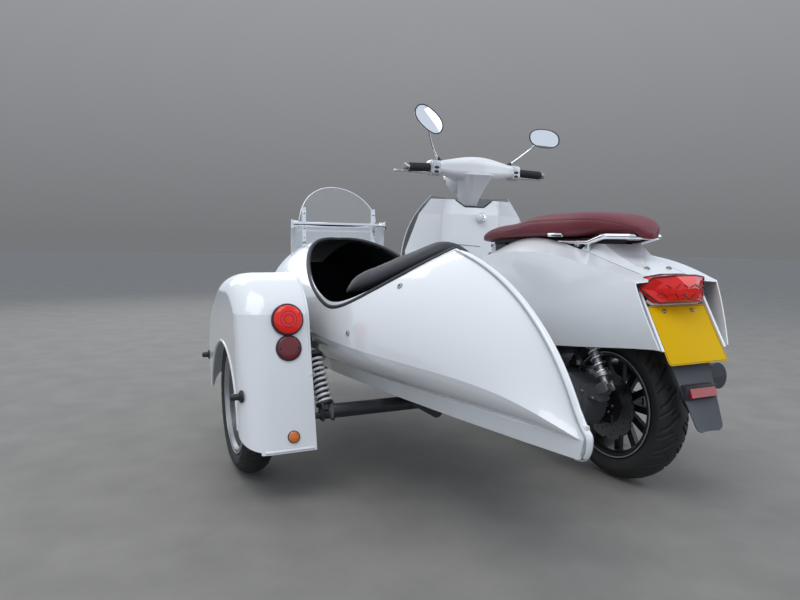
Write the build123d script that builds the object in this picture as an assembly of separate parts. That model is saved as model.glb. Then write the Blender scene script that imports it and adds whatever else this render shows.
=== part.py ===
# Scooter with a boat-tailed sidecar on its left side, built as separate pieces.
# Lengths are millimetres. While it is drawn, X points to the rider's left, Y to
# the rear and Z up, from the ground under the scooter's rear axle. At the end
# every piece is moved so that the origin is on the ground below the middle of
# the whole vehicle.
import os
from math import atan2, cos, degrees, radians, sin, tan

from build123d import *

# Whole vehicle
CENTRE_X = 395.0
CENTRE_Y = -524.0

# Wheels: radius and width of the tyres, and the shared 12 inch rim
WHEELBASE = 1340.0
REAR_TYRE_RADIUS = 236.0
REAR_TYRE_WIDTH = 120.0
FRONT_TYRE_RADIUS = 229.5
FRONT_TYRE_WIDTH = 108.0
SIDE_TYRE_RADIUS = 229.5
SIDE_TYRE_WIDTH = 100.0
SIDE_WHEEL_X = 1085.0
SIDE_WHEEL_Y = -510.0
BEAD_SEAT_RADIUS = 155.0
FLANGE_RADIUS = 166.0
FLANGE_THICKNESS = 5.0
HUB_RADIUS = 33.0
DISC_RADIUS = 110.0
TREAD_DROP = 16.0

# Steering: the axis leans back by the rake and passes this far ahead at ground level
RAKE = 26.0
AXIS_GROUND_Y = -1425.0
HEAD_TUBE_LOW = 640.0
HEAD_TUBE_HIGH = 880.0
HEAD_TUBE_RADIUS = 27.0
STEERER_RADIUS = 17.0

# Sidecar hull
HULL_X = 631.0
HULL_SKIN = 6.0
HULL_FLOOR = 20.0
CAVITY_FRONT = -1270.0
CAVITY_REAR = 10.0
COCKPIT_Y = -360.0
COCKPIT_HALF_WIDTH = 240.0
COCKPIT_FRONT_LENGTH = 570.0
COCKPIT_REAR_LENGTH = 370.0
EDGING_WIDTH = 11.0
ROLL_GAP = EDGING_WIDTH + 0.5
ROLL_WIDTH = 56.0
ROLL_REAR_WIDTH = 76.0
ROLL_PROUD = 15.0

# Hull sections from nose to tail. Columns: y, ridge z, shoulder half width,
# shoulder z, widest half width, z of the widest, floor half width
HULL_SECTIONS = [
    (-1440, 500, 60, 478, 84, 420, 45),
    (-1340, 608, 120, 571, 170, 462, 105),
    (-1150, 700, 175, 636, 238, 482, 150),
    (-920, 745, 196, 676, 270, 490, 178),
    (-640, 752, 196, 659, 275, 464, 185),
    (-330, 746, 184, 646, 262, 448, 170),
    (-60, 733, 148, 637, 226, 442, 126),
    (180, 680, 88, 600, 152, 432, 78),
    (380, 570, 42, 500, 82, 410, 37),
    (540, 364, 8, 361, 14, 357, 8),
]
HULL_BASE_Z = 352.0

# Skirt band along the hull's lower edge, which flares out to a ridge near its top.
# Columns: y, half width at its root, at the ridge and at the foot
BAND_ROOT_Z = 384.0
BAND_RIDGE_Z = 356.0
BAND_BOTTOM_Z = 313.0
BAND_SECTIONS = [
    (-1400, 50, 62, 50),
    (-1300, 112, 129, 114),
    (-1100, 154, 176, 163),
    (-850, 176, 200, 188),
    (-450, 174, 199, 186),
    (-100, 126, 152, 138),
    (180, 76, 98, 87),
    (400, 30, 50, 41),
    (550, 4, 9, 6),
]
BAND_END = [(550, 356), (560, 380), (580, 380), (580, 300), (534, 300)]

# Sidecar windscreen
SCREEN_Y = -927.0
SCREEN_HALF_WIDTH = 163.0
SCREEN_SAGITTA = 70.0
SCREEN_THICKNESS = 4.0
SCREEN_BAR_Z = 802.0
SCREEN_TOP_Z = 955.0
SCREEN_BAR_HALF = 178.0
SCREEN_BAR_RADIUS = 8.0

# Sidecar mudguard
GUARD_INNER_X = 955.0
GUARD_OUTER_X = 1160.0
GUARD_SKIN = 3.0
ARCH_RADIUS = 241.0
ARCH_Z = 176.0

# Scooter body side panels. Columns: y, seam x, seam z, crease x, crease z,
# belly x, belly z, lower edge x, lower edge z
PANEL_SKIN = 4.0
PANEL_SECTIONS = [
    (-640, 104, 672, 150, 640, 160, 500, 150, 330),
    (-470, 116, 738, 190, 700, 200, 550, 186, 358),
    (-200, 118, 748, 200, 711, 212, 575, 198, 405),
    (20, 103, 691, 200, 684, 208, 570, 194, 432),
    (150, 90, 654, 176, 650, 180, 560, 166, 447),
    (285, 84, 616, 142, 618, 142, 545, 134, 458),
]

# Deck between the side panels behind the seat. Columns: y, edge x, edge z,
# crown x, crown z
DECK_SKIN = 5.0
DECK_SECTIONS = [
    (-90, 110, 722, 84, 742),
    (-20, 104, 702, 78, 741),
    (30, 101, 689, 68, 707),
    (90, 95, 671, 64, 681),
    (160, 88, 652, 60, 659),
    (172, 87, 648, 50, 655),
]
RACK_BOLT_Y = 122.0
RACK_BOLT_X = 44.0
RACK_BOLT_RADIUS = 4.0

# Rider's shield. Columns: z, half width, y of the edges, y of the prow
SHIELD_SKIN = 4.0
SHIELD_SECTIONS = [
    (300, 225, -880, -1000),
    (400, 285, -915, -1045),
    (520, 326, -940, -1072),
    (640, 338, -962, -1146),
    (760, 318, -966, -1150),
    (870, 262, -962, -1108),
    (940, 200, -955, -1068),
]

# Panel behind the shield. Columns: z, edge half width, y of the edge,
# half width of the middle box, y of the rear face of the box
INNER_SECTIONS = [
    (313, 215, -866, 110, -850),
    (500, 312, -930, 118, -880),
    (700, 322, -950, 122, -896),
    (860, 258, -948, 118, -908),
    (925, 205, -942, 108, -925),
]

# Seat: Columns: y, half width, z below, z of the top
SEAT_SECTIONS = [
    (-716, 62, 742, 757),
    (-690, 90, 743, 771),
    (-640, 118, 746, 790),
    (-540, 138, 754, 809),
    (-430, 146, 760, 819),
    (-345, 147, 764, 838),
    (-240, 147, 765, 845),
    (-130, 145, 766, 846),
    (-60, 136, 768, 841),
    (-10, 115, 774, 830),
    (30, 82, 779, 814),
    (58, 48, 780, 797),
    (80, 20, 778, 786),
]
SEAT_HINGE_Y = -706.0
SEAT_HINGE_Z = 727.0
HINGE_PIN_RADIUS = 5.0
HINGE_BOSS_RADIUS = 8.0

# Tail
PLATE_WIDTH = 229.0
PLATE_HEIGHT = 178.0
PLATE_SLOPE = 31.0
PLATE_TOP_Y = 181.0
PLATE_TOP_Z = 568.0

FROM_BASE = (Align.CENTER, Align.CENTER, Align.MIN)

pieces = {}


def axis_y(z):
    return AXIS_GROUND_Y + z * tan(radians(RAKE))


def keep(name, shape):
    pieces[name] = shape


def tube(points, radius, bend=0.0):
    if len(points) > 2:
        path = FilletPolyline(*points, radius=bend)
    else:
        path = Line(*points)
    section = Plane(origin=path @ 0, z_dir=path % 0) * Circle(radius)
    return sweep(section, path=path)


def rod(start, end, radius):
    start = Vector(*start)
    end = Vector(*end)
    run = end - start
    return Plane(origin=start, z_dir=run) * Cylinder(radius, run.length, align=FROM_BASE)


def block(low, high):
    size = [b - a for a, b in zip(low, high)]
    middle = [(a + b) / 2 for a, b in zip(low, high)]
    return Pos(*middle) * Box(*size)


def spun(points_and_arcs, x, y, z):
    """A solid of revolution about a line along X through (x, y, z)."""
    face = make_face(Curve() + points_and_arcs)
    return Pos(x, y, z) * revolve(face, Axis.X, 360)


def egg(half_width, front, rear, middle_y):
    """An outline of two half ellipses that meet at their widest."""
    fore = Ellipse(half_width, front) & Pos(0, -front) * Rectangle(4 * half_width, 2 * front)
    aft = Ellipse(half_width, rear) & Pos(0, rear) * Rectangle(4 * half_width, 2 * rear)
    return Pos(0, middle_y) * (fore + aft)


def cockpit_egg(inset, rear_inset):
    return egg(COCKPIT_HALF_WIDTH - inset, COCKPIT_FRONT_LENGTH - inset,
               COCKPIT_REAR_LENGTH - rear_inset, COCKPIT_Y)


def polygon_lines(points):
    closed = list(points) + [points[0]]
    return [Line(a, b) for a, b in zip(closed[:-1], closed[1:])]


def prism_x(points, low, high):
    """An outline of (y, z) points drawn out along X."""
    face = make_face(Curve() + polygon_lines([(low, y, z) for y, z in points]))
    return extrude(face, high - low, dir=(1, 0, 0))


def prism_y(points, low, high):
    """An outline of (x, z) points drawn out along Y."""
    face = make_face(Curve() + polygon_lines([(x, low, z) for x, z in points]))
    return extrude(face, high - low, dir=(0, 1, 0))


def prism_z(points, low, high):
    """An outline of (x, y) points drawn out along Z."""
    face = make_face(Curve() + polygon_lines([(x, y, low) for x, y in points]))
    return extrude(face, high - low, dir=(0, 0, 1))


def spun_polygon(points, x, y, z):
    return spun(polygon_lines([(px, 0, pr) for px, pr in points]), x, y, z)


def mirrored(shape):
    return mirror(shape, about=Plane.YZ)


# Wheels
def tyre(radius, width, rim_half, x, y):
    half = width / 2
    bead = FLANGE_RADIUS + 2
    tread_half = 0.80 * half
    shoulder = radius - TREAD_DROP
    middle = (bead + shoulder) / 2
    edges = [
        Line((-rim_half, 0, BEAD_SEAT_RADIUS), (rim_half, 0, BEAD_SEAT_RADIUS)),
        Line((rim_half, 0, BEAD_SEAT_RADIUS), (rim_half, 0, bead)),
        ThreePointArc((rim_half, 0, bead), (half, 0, middle), (tread_half, 0, shoulder)),
        ThreePointArc((tread_half, 0, shoulder), (0, 0, radius), (-tread_half, 0, shoulder)),
        ThreePointArc((-tread_half, 0, shoulder), (-half, 0, middle), (-rim_half, 0, bead)),
        Line((-rim_half, 0, bead), (-rim_half, 0, BEAD_SEAT_RADIUS)),
    ]
    return spun(edges, x, y, radius)


def rim(radius, rim_half, spokes, hub_half, x, y):
    out = rim_half + FLANGE_THICKNESS
    barrel = spun_polygon([
        (-out, FLANGE_RADIUS), (-rim_half, FLANGE_RADIUS), (-rim_half, BEAD_SEAT_RADIUS),
        (rim_half, BEAD_SEAT_RADIUS), (rim_half, FLANGE_RADIUS), (out, FLANGE_RADIUS),
        (out, FLANGE_RADIUS - 12), (rim_half - 6, BEAD_SEAT_RADIUS - 8),
        (-rim_half + 6, BEAD_SEAT_RADIUS - 8), (-out, FLANGE_RADIUS - 12)], 0, 0, 0)
    hub = Rot(0, 90, 0) * Cylinder(HUB_RADIUS, 2 * hub_half)
    wheel = barrel + hub
    for turn in range(spokes):
        arm = Pos(0, 0, 90) * Box(16, 22, 124)
        wheel += Rot(turn * 360 / spokes, 0, 0) * arm
    wheel -= Rot(0, 90, 0) * Cylinder(9, 2 * hub_half + 2)
    return Pos(x, y, radius) * wheel


def petal_disc(outer, inner, lobes, x, y, z):
    disc = Rot(0, 90, 0) * (Cylinder(outer, 4) - Cylinder(inner, 6))
    for turn in range(lobes):
        notch = Rot(turn * 360 / lobes, 0, 0) * Pos(0, 0, outer + 6) * Rot(0, 90, 0) * Cylinder(13, 8)
        disc -= notch
    return Pos(x, y, z) * disc


REAR_RIM_HALF = 45.0
FRONT_RIM_HALF = 40.0
SIDE_RIM_HALF = 37.0
FRONT_Y = -WHEELBASE

keep("rear_tyre", tyre(REAR_TYRE_RADIUS, REAR_TYRE_WIDTH, REAR_RIM_HALF, 0, 0))
keep("rear_rim", rim(REAR_TYRE_RADIUS, REAR_RIM_HALF, 12, 58, 0, 0)
     + petal_disc(DISC_RADIUS, HUB_RADIUS, 10, 54, 0, REAR_TYRE_RADIUS))
keep("front_tyre", tyre(FRONT_TYRE_RADIUS, FRONT_TYRE_WIDTH, FRONT_RIM_HALF, 0, FRONT_Y))
keep("front_rim", rim(FRONT_TYRE_RADIUS, FRONT_RIM_HALF, 12, 52, 0, FRONT_Y)
     + petal_disc(DISC_RADIUS, HUB_RADIUS, 10, 48, FRONT_Y, FRONT_TYRE_RADIUS))
keep("sidecar_tyre", tyre(SIDE_TYRE_RADIUS, SIDE_TYRE_WIDTH, SIDE_RIM_HALF, SIDE_WHEEL_X, SIDE_WHEEL_Y))
keep("sidecar_rim", rim(SIDE_TYRE_RADIUS, SIDE_RIM_HALF, 12, 36, SIDE_WHEEL_X, SIDE_WHEEL_Y))


# Sidecar hull
def hull_section(row, inset, base_z):
    y, ridge, shoulder_x, shoulder_z, wide, wide_z, floor = row
    ridge = ridge - inset
    shoulder_x = max(shoulder_x - 0.75 * inset, 1)
    shoulder_z = shoulder_z - 0.7 * inset
    wide = max(wide - inset, 2)
    floor = max(floor - inset, 1)
    low_mid_x = floor + 0.72 * (wide - floor)
    low_mid_z = base_z + 0.42 * (wide_z - base_z)
    edges = [
        Line((-floor, y, base_z), (floor, y, base_z)),
        ThreePointArc((floor, y, base_z), (low_mid_x, y, low_mid_z), (wide, y, wide_z)),
        ThreePointArc((wide, y, wide_z), (shoulder_x, y, shoulder_z), (0, y, ridge)),
        ThreePointArc((0, y, ridge), (-shoulder_x, y, shoulder_z), (-wide, y, wide_z)),
        ThreePointArc((-wide, y, wide_z), (-low_mid_x, y, low_mid_z), (-floor, y, base_z)),
    ]
    return make_face(Curve() + edges)


def hull_body(inset, base_z, rows):
    return loft([hull_section(row, inset, base_z) for row in rows])


hull_outer = hull_body(0, HULL_BASE_Z, HULL_SECTIONS)
inner_rows = HULL_SECTIONS[1:8]
hull_inner = hull_body(HULL_SKIN, HULL_BASE_Z + HULL_FLOOR, inner_rows)
hull_inner = hull_inner & block((-400, CAVITY_FRONT, 300), (400, CAVITY_REAR, 900))
cockpit_cut = Pos(0, 0, 520) * extrude(cockpit_egg(0, 0), 400, dir=(0, 0, 1))
hull = hull_outer - hull_inner - cockpit_cut
keep("sidecar_hull", Pos(HULL_X, 0, 0) * hull)

band_faces = []
for y, root, ridge, foot in BAND_SECTIONS:
    outline = [(-root, y, BAND_ROOT_Z), (root, y, BAND_ROOT_Z), (ridge, y, BAND_RIDGE_Z),
               (foot, y, BAND_BOTTOM_Z), (-foot, y, BAND_BOTTOM_Z), (-ridge, y, BAND_RIDGE_Z)]
    band_faces.append(make_face(Curve() + polygon_lines(outline)))
band = loft(band_faces, ruled=True) - hull_outer - prism_x(BAND_END, -40, 40)
band = max(band.solids(), key=lambda s: s.volume)
keep("sidecar_floor_pan", Pos(HULL_X, 0, 0) * band)

# Rubber edging in the rim of the cockpit, and the padded roll along its rear
hull_proud = hull_body(-6, HULL_BASE_Z, HULL_SECTIONS)
hull_under = hull_body(14, HULL_BASE_Z, inner_rows)
ring = extrude(cockpit_egg(0.3, 0.3) - cockpit_egg(EDGING_WIDTH, EDGING_WIDTH), 400, dir=(0, 0, 1))
ring = Pos(0, 0, 520) * ring
edging = (hull_proud & ring) - hull_under
keep("cockpit_edging", Pos(HULL_X, 0, 0) * edging)

hull_pad_top = hull_body(-ROLL_PROUD, HULL_BASE_Z, HULL_SECTIONS)
hull_pad_low = hull_body(34, HULL_BASE_Z, inner_rows)
roll = extrude(cockpit_egg(ROLL_GAP, ROLL_GAP) - cockpit_egg(ROLL_WIDTH, ROLL_REAR_WIDTH), 400, dir=(0, 0, 1))
roll = Pos(0, 0, 520) * roll
roll = roll & block((-400, -235, 500), (400, 100, 950))
roll = (hull_pad_top & roll) - hull_pad_low
keep("cockpit_roll", Pos(HULL_X, 0, 0) * roll)

# Seat inside the sidecar
SEAT_HALF = 165.0
seat_block = block((-SEAT_HALF, -600, 395), (SEAT_HALF, -150, 455))
back_rest = Pos(0, -100, 545) * Rot(-12, 0, 0) * Box(2 * 125, 50, 150)
sidecar_seat = fillet(seat_block.edges(), 18) + fillet(back_rest.edges(), 18)
keep("sidecar_seat", Pos(HULL_X, 0, 0) * sidecar_seat)

# Windscreen of the sidecar
screen_radius = (SCREEN_HALF_WIDTH ** 2 + SCREEN_SAGITTA ** 2) / (2 * SCREEN_SAGITTA)
screen_centre_y = SCREEN_Y - SCREEN_SAGITTA + screen_radius


def screen_shell(low_z, high_z, radius, thickness):
    ring = Cylinder(radius, high_z - low_z) - Cylinder(radius - thickness, high_z - low_z + 2)
    return Pos(0, screen_centre_y, (low_z + high_z) / 2) * ring


screen = screen_shell(SCREEN_BAR_Z + 10, SCREEN_TOP_Z, screen_radius, SCREEN_THICKNESS)
arch_height = SCREEN_TOP_Z - SCREEN_BAR_Z
arch_face = Plane.XZ * Pos(0, SCREEN_BAR_Z) * Ellipse(SCREEN_HALF_WIDTH, arch_height)
screen = screen & extrude(arch_face, 1200, both=True)
screen = screen & block((-400, -1200, 700), (400, SCREEN_Y - 3, 1000))
keep("windscreen", Pos(HULL_X, 0, 0) * screen)

apron = screen_shell(600, SCREEN_BAR_Z - 6, screen_radius + 24, SCREEN_THICKNESS)
apron = apron & block((-205, -1200, 600), (205, SCREEN_Y + 4, 900))
apron = apron - hull_body(-0.3, HULL_BASE_Z, HULL_SECTIONS)
keep("screen_apron", Pos(HULL_X, 0, 0) * apron)

BAR_Y = SCREEN_Y + 19.0
bar = rod((-SCREEN_BAR_HALF, BAR_Y, SCREEN_BAR_Z), (SCREEN_BAR_HALF, BAR_Y, SCREEN_BAR_Z), SCREEN_BAR_RADIUS)
for side in (-1, 1):
    x = side * SCREEN_BAR_HALF
    bar += rod((x - side * 2, BAR_Y, SCREEN_BAR_Z), (x + side * 16, BAR_Y, SCREEN_BAR_Z), 11)
    bar += Pos(x + side * 18, BAR_Y, SCREEN_BAR_Z) * Box(6, 10, 34)
for side in (-1, 1):
    x = side * 146
    bar += block((x - 7, SCREEN_Y + 1.5, 690), (x + 7, SCREEN_Y + 13, 868)) - hull_outer
keep("screen_bar", Pos(HULL_X, 0, 0) * bar)

# Mudguard of the sidecar wheel, in side view, then hollowed and cut for the wheel
# Rounded outer edge of the mudguard. Columns: distance in from its outer face, inset of the outline
GUARD_EDGE = [(80, 0), (45, 7), (15, 26), (0, 58)]


def guard_outline(x, inset, drop):
    tip = (-800 + inset, 228 - drop)
    front = (-846 + inset, 400)
    front_top = (-716 + 0.7 * inset, 566 - 0.7 * inset)
    crown = (-480, 635 - inset)
    rear_mid = (-330 - 0.5 * inset, 607 - 0.85 * inset)
    rear_top = (-262 - inset, 530)
    rear_low = (-180 - inset, 150 - drop)
    edges = [
        ThreePointArc((x, *tip), (x, *front), (x, *front_top)),
        ThreePointArc((x, *front_top), (x, -610 + 0.3 * inset, 618 - 0.95 * inset), (x, *crown)),
        ThreePointArc((x, *crown), (x, *rear_mid), (x, *rear_top)),
        Line((x, *rear_top), (x, *rear_low)),
        Line((x, *rear_low), (x, -620, 150 - drop)),
        Line((x, -620, 150 - drop), (x, *tip)),
    ]
    return make_face(Curve() + edges)


def guard_body(inner_x, outer_x, inset, drop):
    straight_end = outer_x - GUARD_EDGE[0][0]
    body = extrude(guard_outline(inner_x, inset, drop), straight_end - inner_x, dir=(1, 0, 0))
    rounded = loft([guard_outline(outer_x - step, inset + more, drop) for step, more in GUARD_EDGE])
    return body + rounded


outer_guard = guard_body(GUARD_INNER_X, GUARD_OUTER_X, 0, 0)
inner_guard = guard_body(GUARD_INNER_X - 1, GUARD_OUTER_X - GUARD_SKIN, GUARD_SKIN, 8)
guard = outer_guard - inner_guard
guard -= Pos(GUARD_OUTER_X, SIDE_WHEEL_Y, ARCH_Z) * Rot(0, 90, 0) * Cylinder(ARCH_RADIUS, 120)
guard -= block((900, -760, 100), (1200, -250, 160))
guard -= prism_x([(-350, 100), (-350, 250), (-292, 217), (-184, 156), (-184, 100)], 1110, 1200)
guard = max(guard.solids(), key=lambda s: s.volume)
keep("sidecar_mudguard", guard)

# Lamps of the sidecar mudguard on its sloping rear edge. Columns: x, z, radius, depth
GUARD_REAR_RUN = 82.0
GUARD_REAR_RISE = 380.0
REAR_LAMPS = [
    (1020, 514, 43.5, 22),
    (1020, 435, 35, 8),
    (1020, 192, 16.5, 9),
]
rear_slope = degrees(atan2(GUARD_REAR_RUN, GUARD_REAR_RISE))
rear_lamps = []
for x, z, radius, depth in REAR_LAMPS:
    y = -262 + (530 - z) * GUARD_REAR_RUN / GUARD_REAR_RISE
    lamp = Pos(x, y + 0.4, z) * Rot(rear_slope - 90, 0, 0) * Cylinder(radius, depth, align=FROM_BASE)
    rear_lamps.append(lamp)
keep("sidecar_rear_lamps", Compound(children=rear_lamps))

marker_lamps = []
for y, z in ((-250, 305), (-800, 330)):
    flange = rod((GUARD_OUTER_X - 20, y, z), (GUARD_OUTER_X + 10, y, z), 14) - outer_guard
    marker_lamps.append(flange + rod((GUARD_OUTER_X + 10, y, z), (GUARD_OUTER_X + 24, y, z), 9))
keep("marker_lamps", Compound(children=marker_lamps))

# Chassis of the sidecar: rails under the hull, cross tubes, the wheel's arm and damper
RAIL_RADIUS = 17.0
RAIL_Z = BAND_BOTTOM_Z - RAIL_RADIUS - 0.2
RAIL_X = (560.0, 702.0)
CROSS_Z = 272.0
CROSS_RADIUS = 20.0
CROSS_FRONT_Y = -770.0
CROSS_REAR_Y = -130.0
ARM_X = 1000.0
ARM_REAR_Y = -215.0
ARM_REAR_Z = 238.0
SHOCK_HIGH = (926, -318, 408)
HOOP_Z = 430.0

sidecar_frame = None
for x, rear in zip(RAIL_X, (250, 60)):
    rail = rod((x, -1180, RAIL_Z), (x, rear, RAIL_Z), RAIL_RADIUS)
    sidecar_frame = rail if sidecar_frame is None else sidecar_frame + rail
sidecar_frame += rod((190, CROSS_FRONT_Y, CROSS_Z), (1012, CROSS_FRONT_Y, CROSS_Z), CROSS_RADIUS)
sidecar_frame += rod((210, CROSS_REAR_Y, CROSS_Z), (930, CROSS_REAR_Y, CROSS_Z), CROSS_RADIUS)

hoop = tube([(926, CROSS_FRONT_Y, CROSS_Z + CROSS_RADIUS), (926, CROSS_FRONT_Y + 20, HOOP_Z),
             (926, -305, HOOP_Z)], 11, 60)
hoop += rod((926, -500, HOOP_Z), (975, -500, 633), 6)
hoop += rod((926, -640, HOOP_Z), (975, -640, 602), 6)
hoop += rod((926, -330, HOOP_Z), (975, -345, 604), 6)
sidecar_frame += hoop - guard

wheel_axle_z = SIDE_TYRE_RADIUS
arm = tube([(ARM_X, CROSS_FRONT_Y, CROSS_Z), (ARM_X, SIDE_WHEEL_Y, wheel_axle_z),
            (ARM_X, ARM_REAR_Y, ARM_REAR_Z)], 15, 300)
arm += rod((ARM_X - 22, CROSS_FRONT_Y, CROSS_Z), (ARM_X + 12, CROSS_FRONT_Y, CROSS_Z), 30)
arm += rod((ARM_X - 18, SIDE_WHEEL_Y, wheel_axle_z), (ARM_X + 30, SIDE_WHEEL_Y, wheel_axle_z), 24)
arm += rod((ARM_X + 20, SIDE_WHEEL_Y, wheel_axle_z), (SIDE_WHEEL_X + 44, SIDE_WHEEL_Y, wheel_axle_z), 8.5)
arm += rod((ARM_X, ARM_REAR_Y, ARM_REAR_Z), (890, ARM_REAR_Y, ARM_REAR_Z), 9)
arm -= rod((900, CROSS_FRONT_Y, CROSS_Z), (1100, CROSS_FRONT_Y, CROSS_Z), CROSS_RADIUS)
keep("sidecar_swing_arm", arm)


def damper(low, high, coil_radius, body_radius, turns):
    """A damper with its spring drawn as a stack of rings about the line from low to high."""
    low = Vector(*low)
    high = Vector(*high)
    run = high - low
    length = run.length
    start = 0.16 * length
    pitch = (0.84 * length - start) / turns
    points = [(0, 0, 0), (body_radius, 0, 0), (body_radius, 0, start)]
    for turn in range(turns):
        z = start + turn * pitch
        points += [(coil_radius, 0, z + 0.15 * pitch), (coil_radius, 0, z + 0.65 * pitch),
                   (body_radius, 0, z + 0.85 * pitch)]
    points += [(body_radius, 0, length), (0, 0, length)]
    body = revolve(make_face(Curve() + polygon_lines(points)), Axis.Z, 360)
    return Plane(origin=low, z_dir=run) * body


shock_start = (915, ARM_REAR_Y - 3, ARM_REAR_Z + 9)
side_shock = damper(shock_start, SHOCK_HIGH, 25, 14, 8)
side_shock -= rod((880, ARM_REAR_Y, ARM_REAR_Z), (1000, ARM_REAR_Y, ARM_REAR_Z), 9)
side_shock -= sidecar_frame
keep("sidecar_damper", side_shock)

# Rider's shield and the panel behind it
def shield_edges(z, half, edge_y, prow_y, skin):
    outer = ThreePointArc((-half, edge_y, z), (0, prow_y, z), (half, edge_y, z))
    inner = ThreePointArc((half - skin, edge_y, z), (0, prow_y + skin, z), (-half + skin, edge_y, z))
    return make_face(Curve() + [outer, Line((half, edge_y, z), (half - skin, edge_y, z)), inner,
                                Line((-half + skin, edge_y, z), (-half, edge_y, z))])


shield = loft([shield_edges(z, half, edge, prow, SHIELD_SKIN) for z, half, edge, prow in SHIELD_SECTIONS])
fork_hole = Plane(origin=(0, axis_y(600), 600), z_dir=(0, tan(radians(RAKE)), 1)) * Cylinder(50, 260)
shield -= fork_hole
keep("leg_shield", max(shield.solids(), key=lambda s: s.volume))


def shield_outer(z, half, edge_y, prow_y):
    front = ThreePointArc((-half, edge_y, z), (0, prow_y, z), (half, edge_y, z))
    return make_face(Curve() + [front, Line((half, edge_y, z), (-half, edge_y, z))])


# Raised casing down the prow with cooling slots. Columns: z, half width at the root,
# half width of its face, y of the face
CASING_SECTIONS = [(700, 60, 44, -1168), (770, 66, 50, -1176), (850, 60, 42, -1148), (890, 46, 30, -1120)]
SLOT_LEVELS = (722, 744, 766, 788, 810)
shield_solid = loft([shield_outer(*row) for row in SHIELD_SECTIONS])
shield_proud = loft([shield_outer(z, half + 1, edge, prow - 1) for z, half, edge, prow in SHIELD_SECTIONS])
casing_faces = []
for z, root, face, y in CASING_SECTIONS:
    outline = [(-root, y + 60, z), (-face, y, z), (face, y, z), (root, y + 60, z)]
    casing_faces.append(make_face(Curve() + polygon_lines(outline)))
casing = loft(casing_faces, ruled=True) - shield_proud
for z in SLOT_LEVELS:
    casing -= block((-34, -1200, z - 4), (34, -1162, z + 4))
keep("horn_casing", max(casing.solids(), key=lambda s: s.volume))

# Front indicators, one on each side of the shield
INDICATOR_X = 172.0
INDICATOR_Z = 800.0
indicators = []
for side in (-1, 1):
    x = side * INDICATOR_X
    lens = rod((x, -1112, INDICATOR_Z), (x, -1080, INDICATOR_Z), 25) - shield_solid
    indicators.append(max(lens.solids(), key=lambda s: s.volume))
keep("front_indicators", Compound(children=indicators))


def inner_face(z, half, edge_y, box_half, box_y, skin):
    rear = [(-half, edge_y), (-box_half - 30, edge_y + 8), (-box_half, box_y), (box_half, box_y),
            (box_half + 30, edge_y + 8), (half, edge_y)]
    front = [(x * 0.985, y - skin) for x, y in reversed(rear)]
    return make_face(Curve() + polygon_lines([(x, y, z) for x, y in rear + front]))


inner = loft([inner_face(*row, SHIELD_SKIN) for row in INNER_SECTIONS], ruled=True)
inner -= prism_y([(-100, 930), (-48, 896), (48, 896), (100, 930), (100, 960), (-100, 960)], -1200, -800)
keep("inner_panel", inner)

# Underbone frame of the scooter
head = rod((0, axis_y(HEAD_TUBE_LOW), HEAD_TUBE_LOW), (0, axis_y(HEAD_TUBE_HIGH), HEAD_TUBE_HIGH),
           HEAD_TUBE_RADIUS)
spine = tube([(0, axis_y(720) + 10, 720), (0, -968, 430), (0, -905, 246), (0, -560, 246)], 20, 60)
scooter_frame = head + spine
for side in (-1, 1):
    rail = tube([(0, -620, 246), (side * 80, -545, 246), (side * 128, -470, 440), (side * 112, -60, 628),
                 (side * 80, 130, 628)], 13, 50)
    scooter_frame += rail
scooter_frame += rod((-104, 90, 628), (104, 90, 628), 9)
scooter_frame -= rod((0, axis_y(560), 560), (0, axis_y(960), 960), STEERER_RADIUS + 1)
keep("scooter_frame", scooter_frame)

# Floor, seat tower, storage under the seat
floor = block((-212, -864, 296), (212, -600, 312))
floor = fillet(floor.edges().filter_by(Axis.Z), 20)
keep("floorboard", floor)


def tower_face(z, half, y, sagitta, skin):
    outer = ThreePointArc((-half, y, z), (0, y - sagitta, z), (half, y, z))
    inner = ThreePointArc((half, y + skin, z), (0, y - sagitta + skin, z), (-half, y + skin, z))
    return make_face(Curve() + [outer, Line((half, y, z), (half, y + skin, z)), inner,
                                Line((-half, y + skin, z), (-half, y, z))])


# Front of the seat tower. Columns: z, half width, y of the edges, bulge, skin
TOWER_SECTIONS = [(312, 142, -612, 24, 4), (500, 150, -634, 22, 4), (700, 96, -648, 16, 4)]
tower = loft([tower_face(*row) for row in TOWER_SECTIONS])

# Two lugs of the seat's hinge stand on the tower
LUG_NEAR_X = 34.0
LUG_FAR_X = 42.0
for side in (-1, 1):
    near = side * LUG_NEAR_X
    far = side * LUG_FAR_X
    lug = block((min(near, far), SEAT_HINGE_Y, 688), (max(near, far), -648, SEAT_HINGE_Z + 6))
    lug += rod((near, SEAT_HINGE_Y, SEAT_HINGE_Z), (far, SEAT_HINGE_Y, SEAT_HINGE_Z), HINGE_BOSS_RADIUS)
    tower += lug
hinge_line = [(-60, SEAT_HINGE_Y, SEAT_HINGE_Z), (60, SEAT_HINGE_Y, SEAT_HINGE_Z)]
tower -= rod(*hinge_line, HINGE_PIN_RADIUS + 0.5)
keep("seat_tower", tower)

bucket_outer = block((-108, -600, 470), (108, -98, 734))
bucket_outer = fillet(bucket_outer.edges().filter_by(Axis.Z), 30)
bucket_inner = block((-104, -596, 474), (104, -102, 760))
bucket_inner = fillet(bucket_inner.edges().filter_by(Axis.Z), 26)
bucket = bucket_outer - bucket_inner
keep("underseat_bucket", bucket - scooter_frame)


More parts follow.
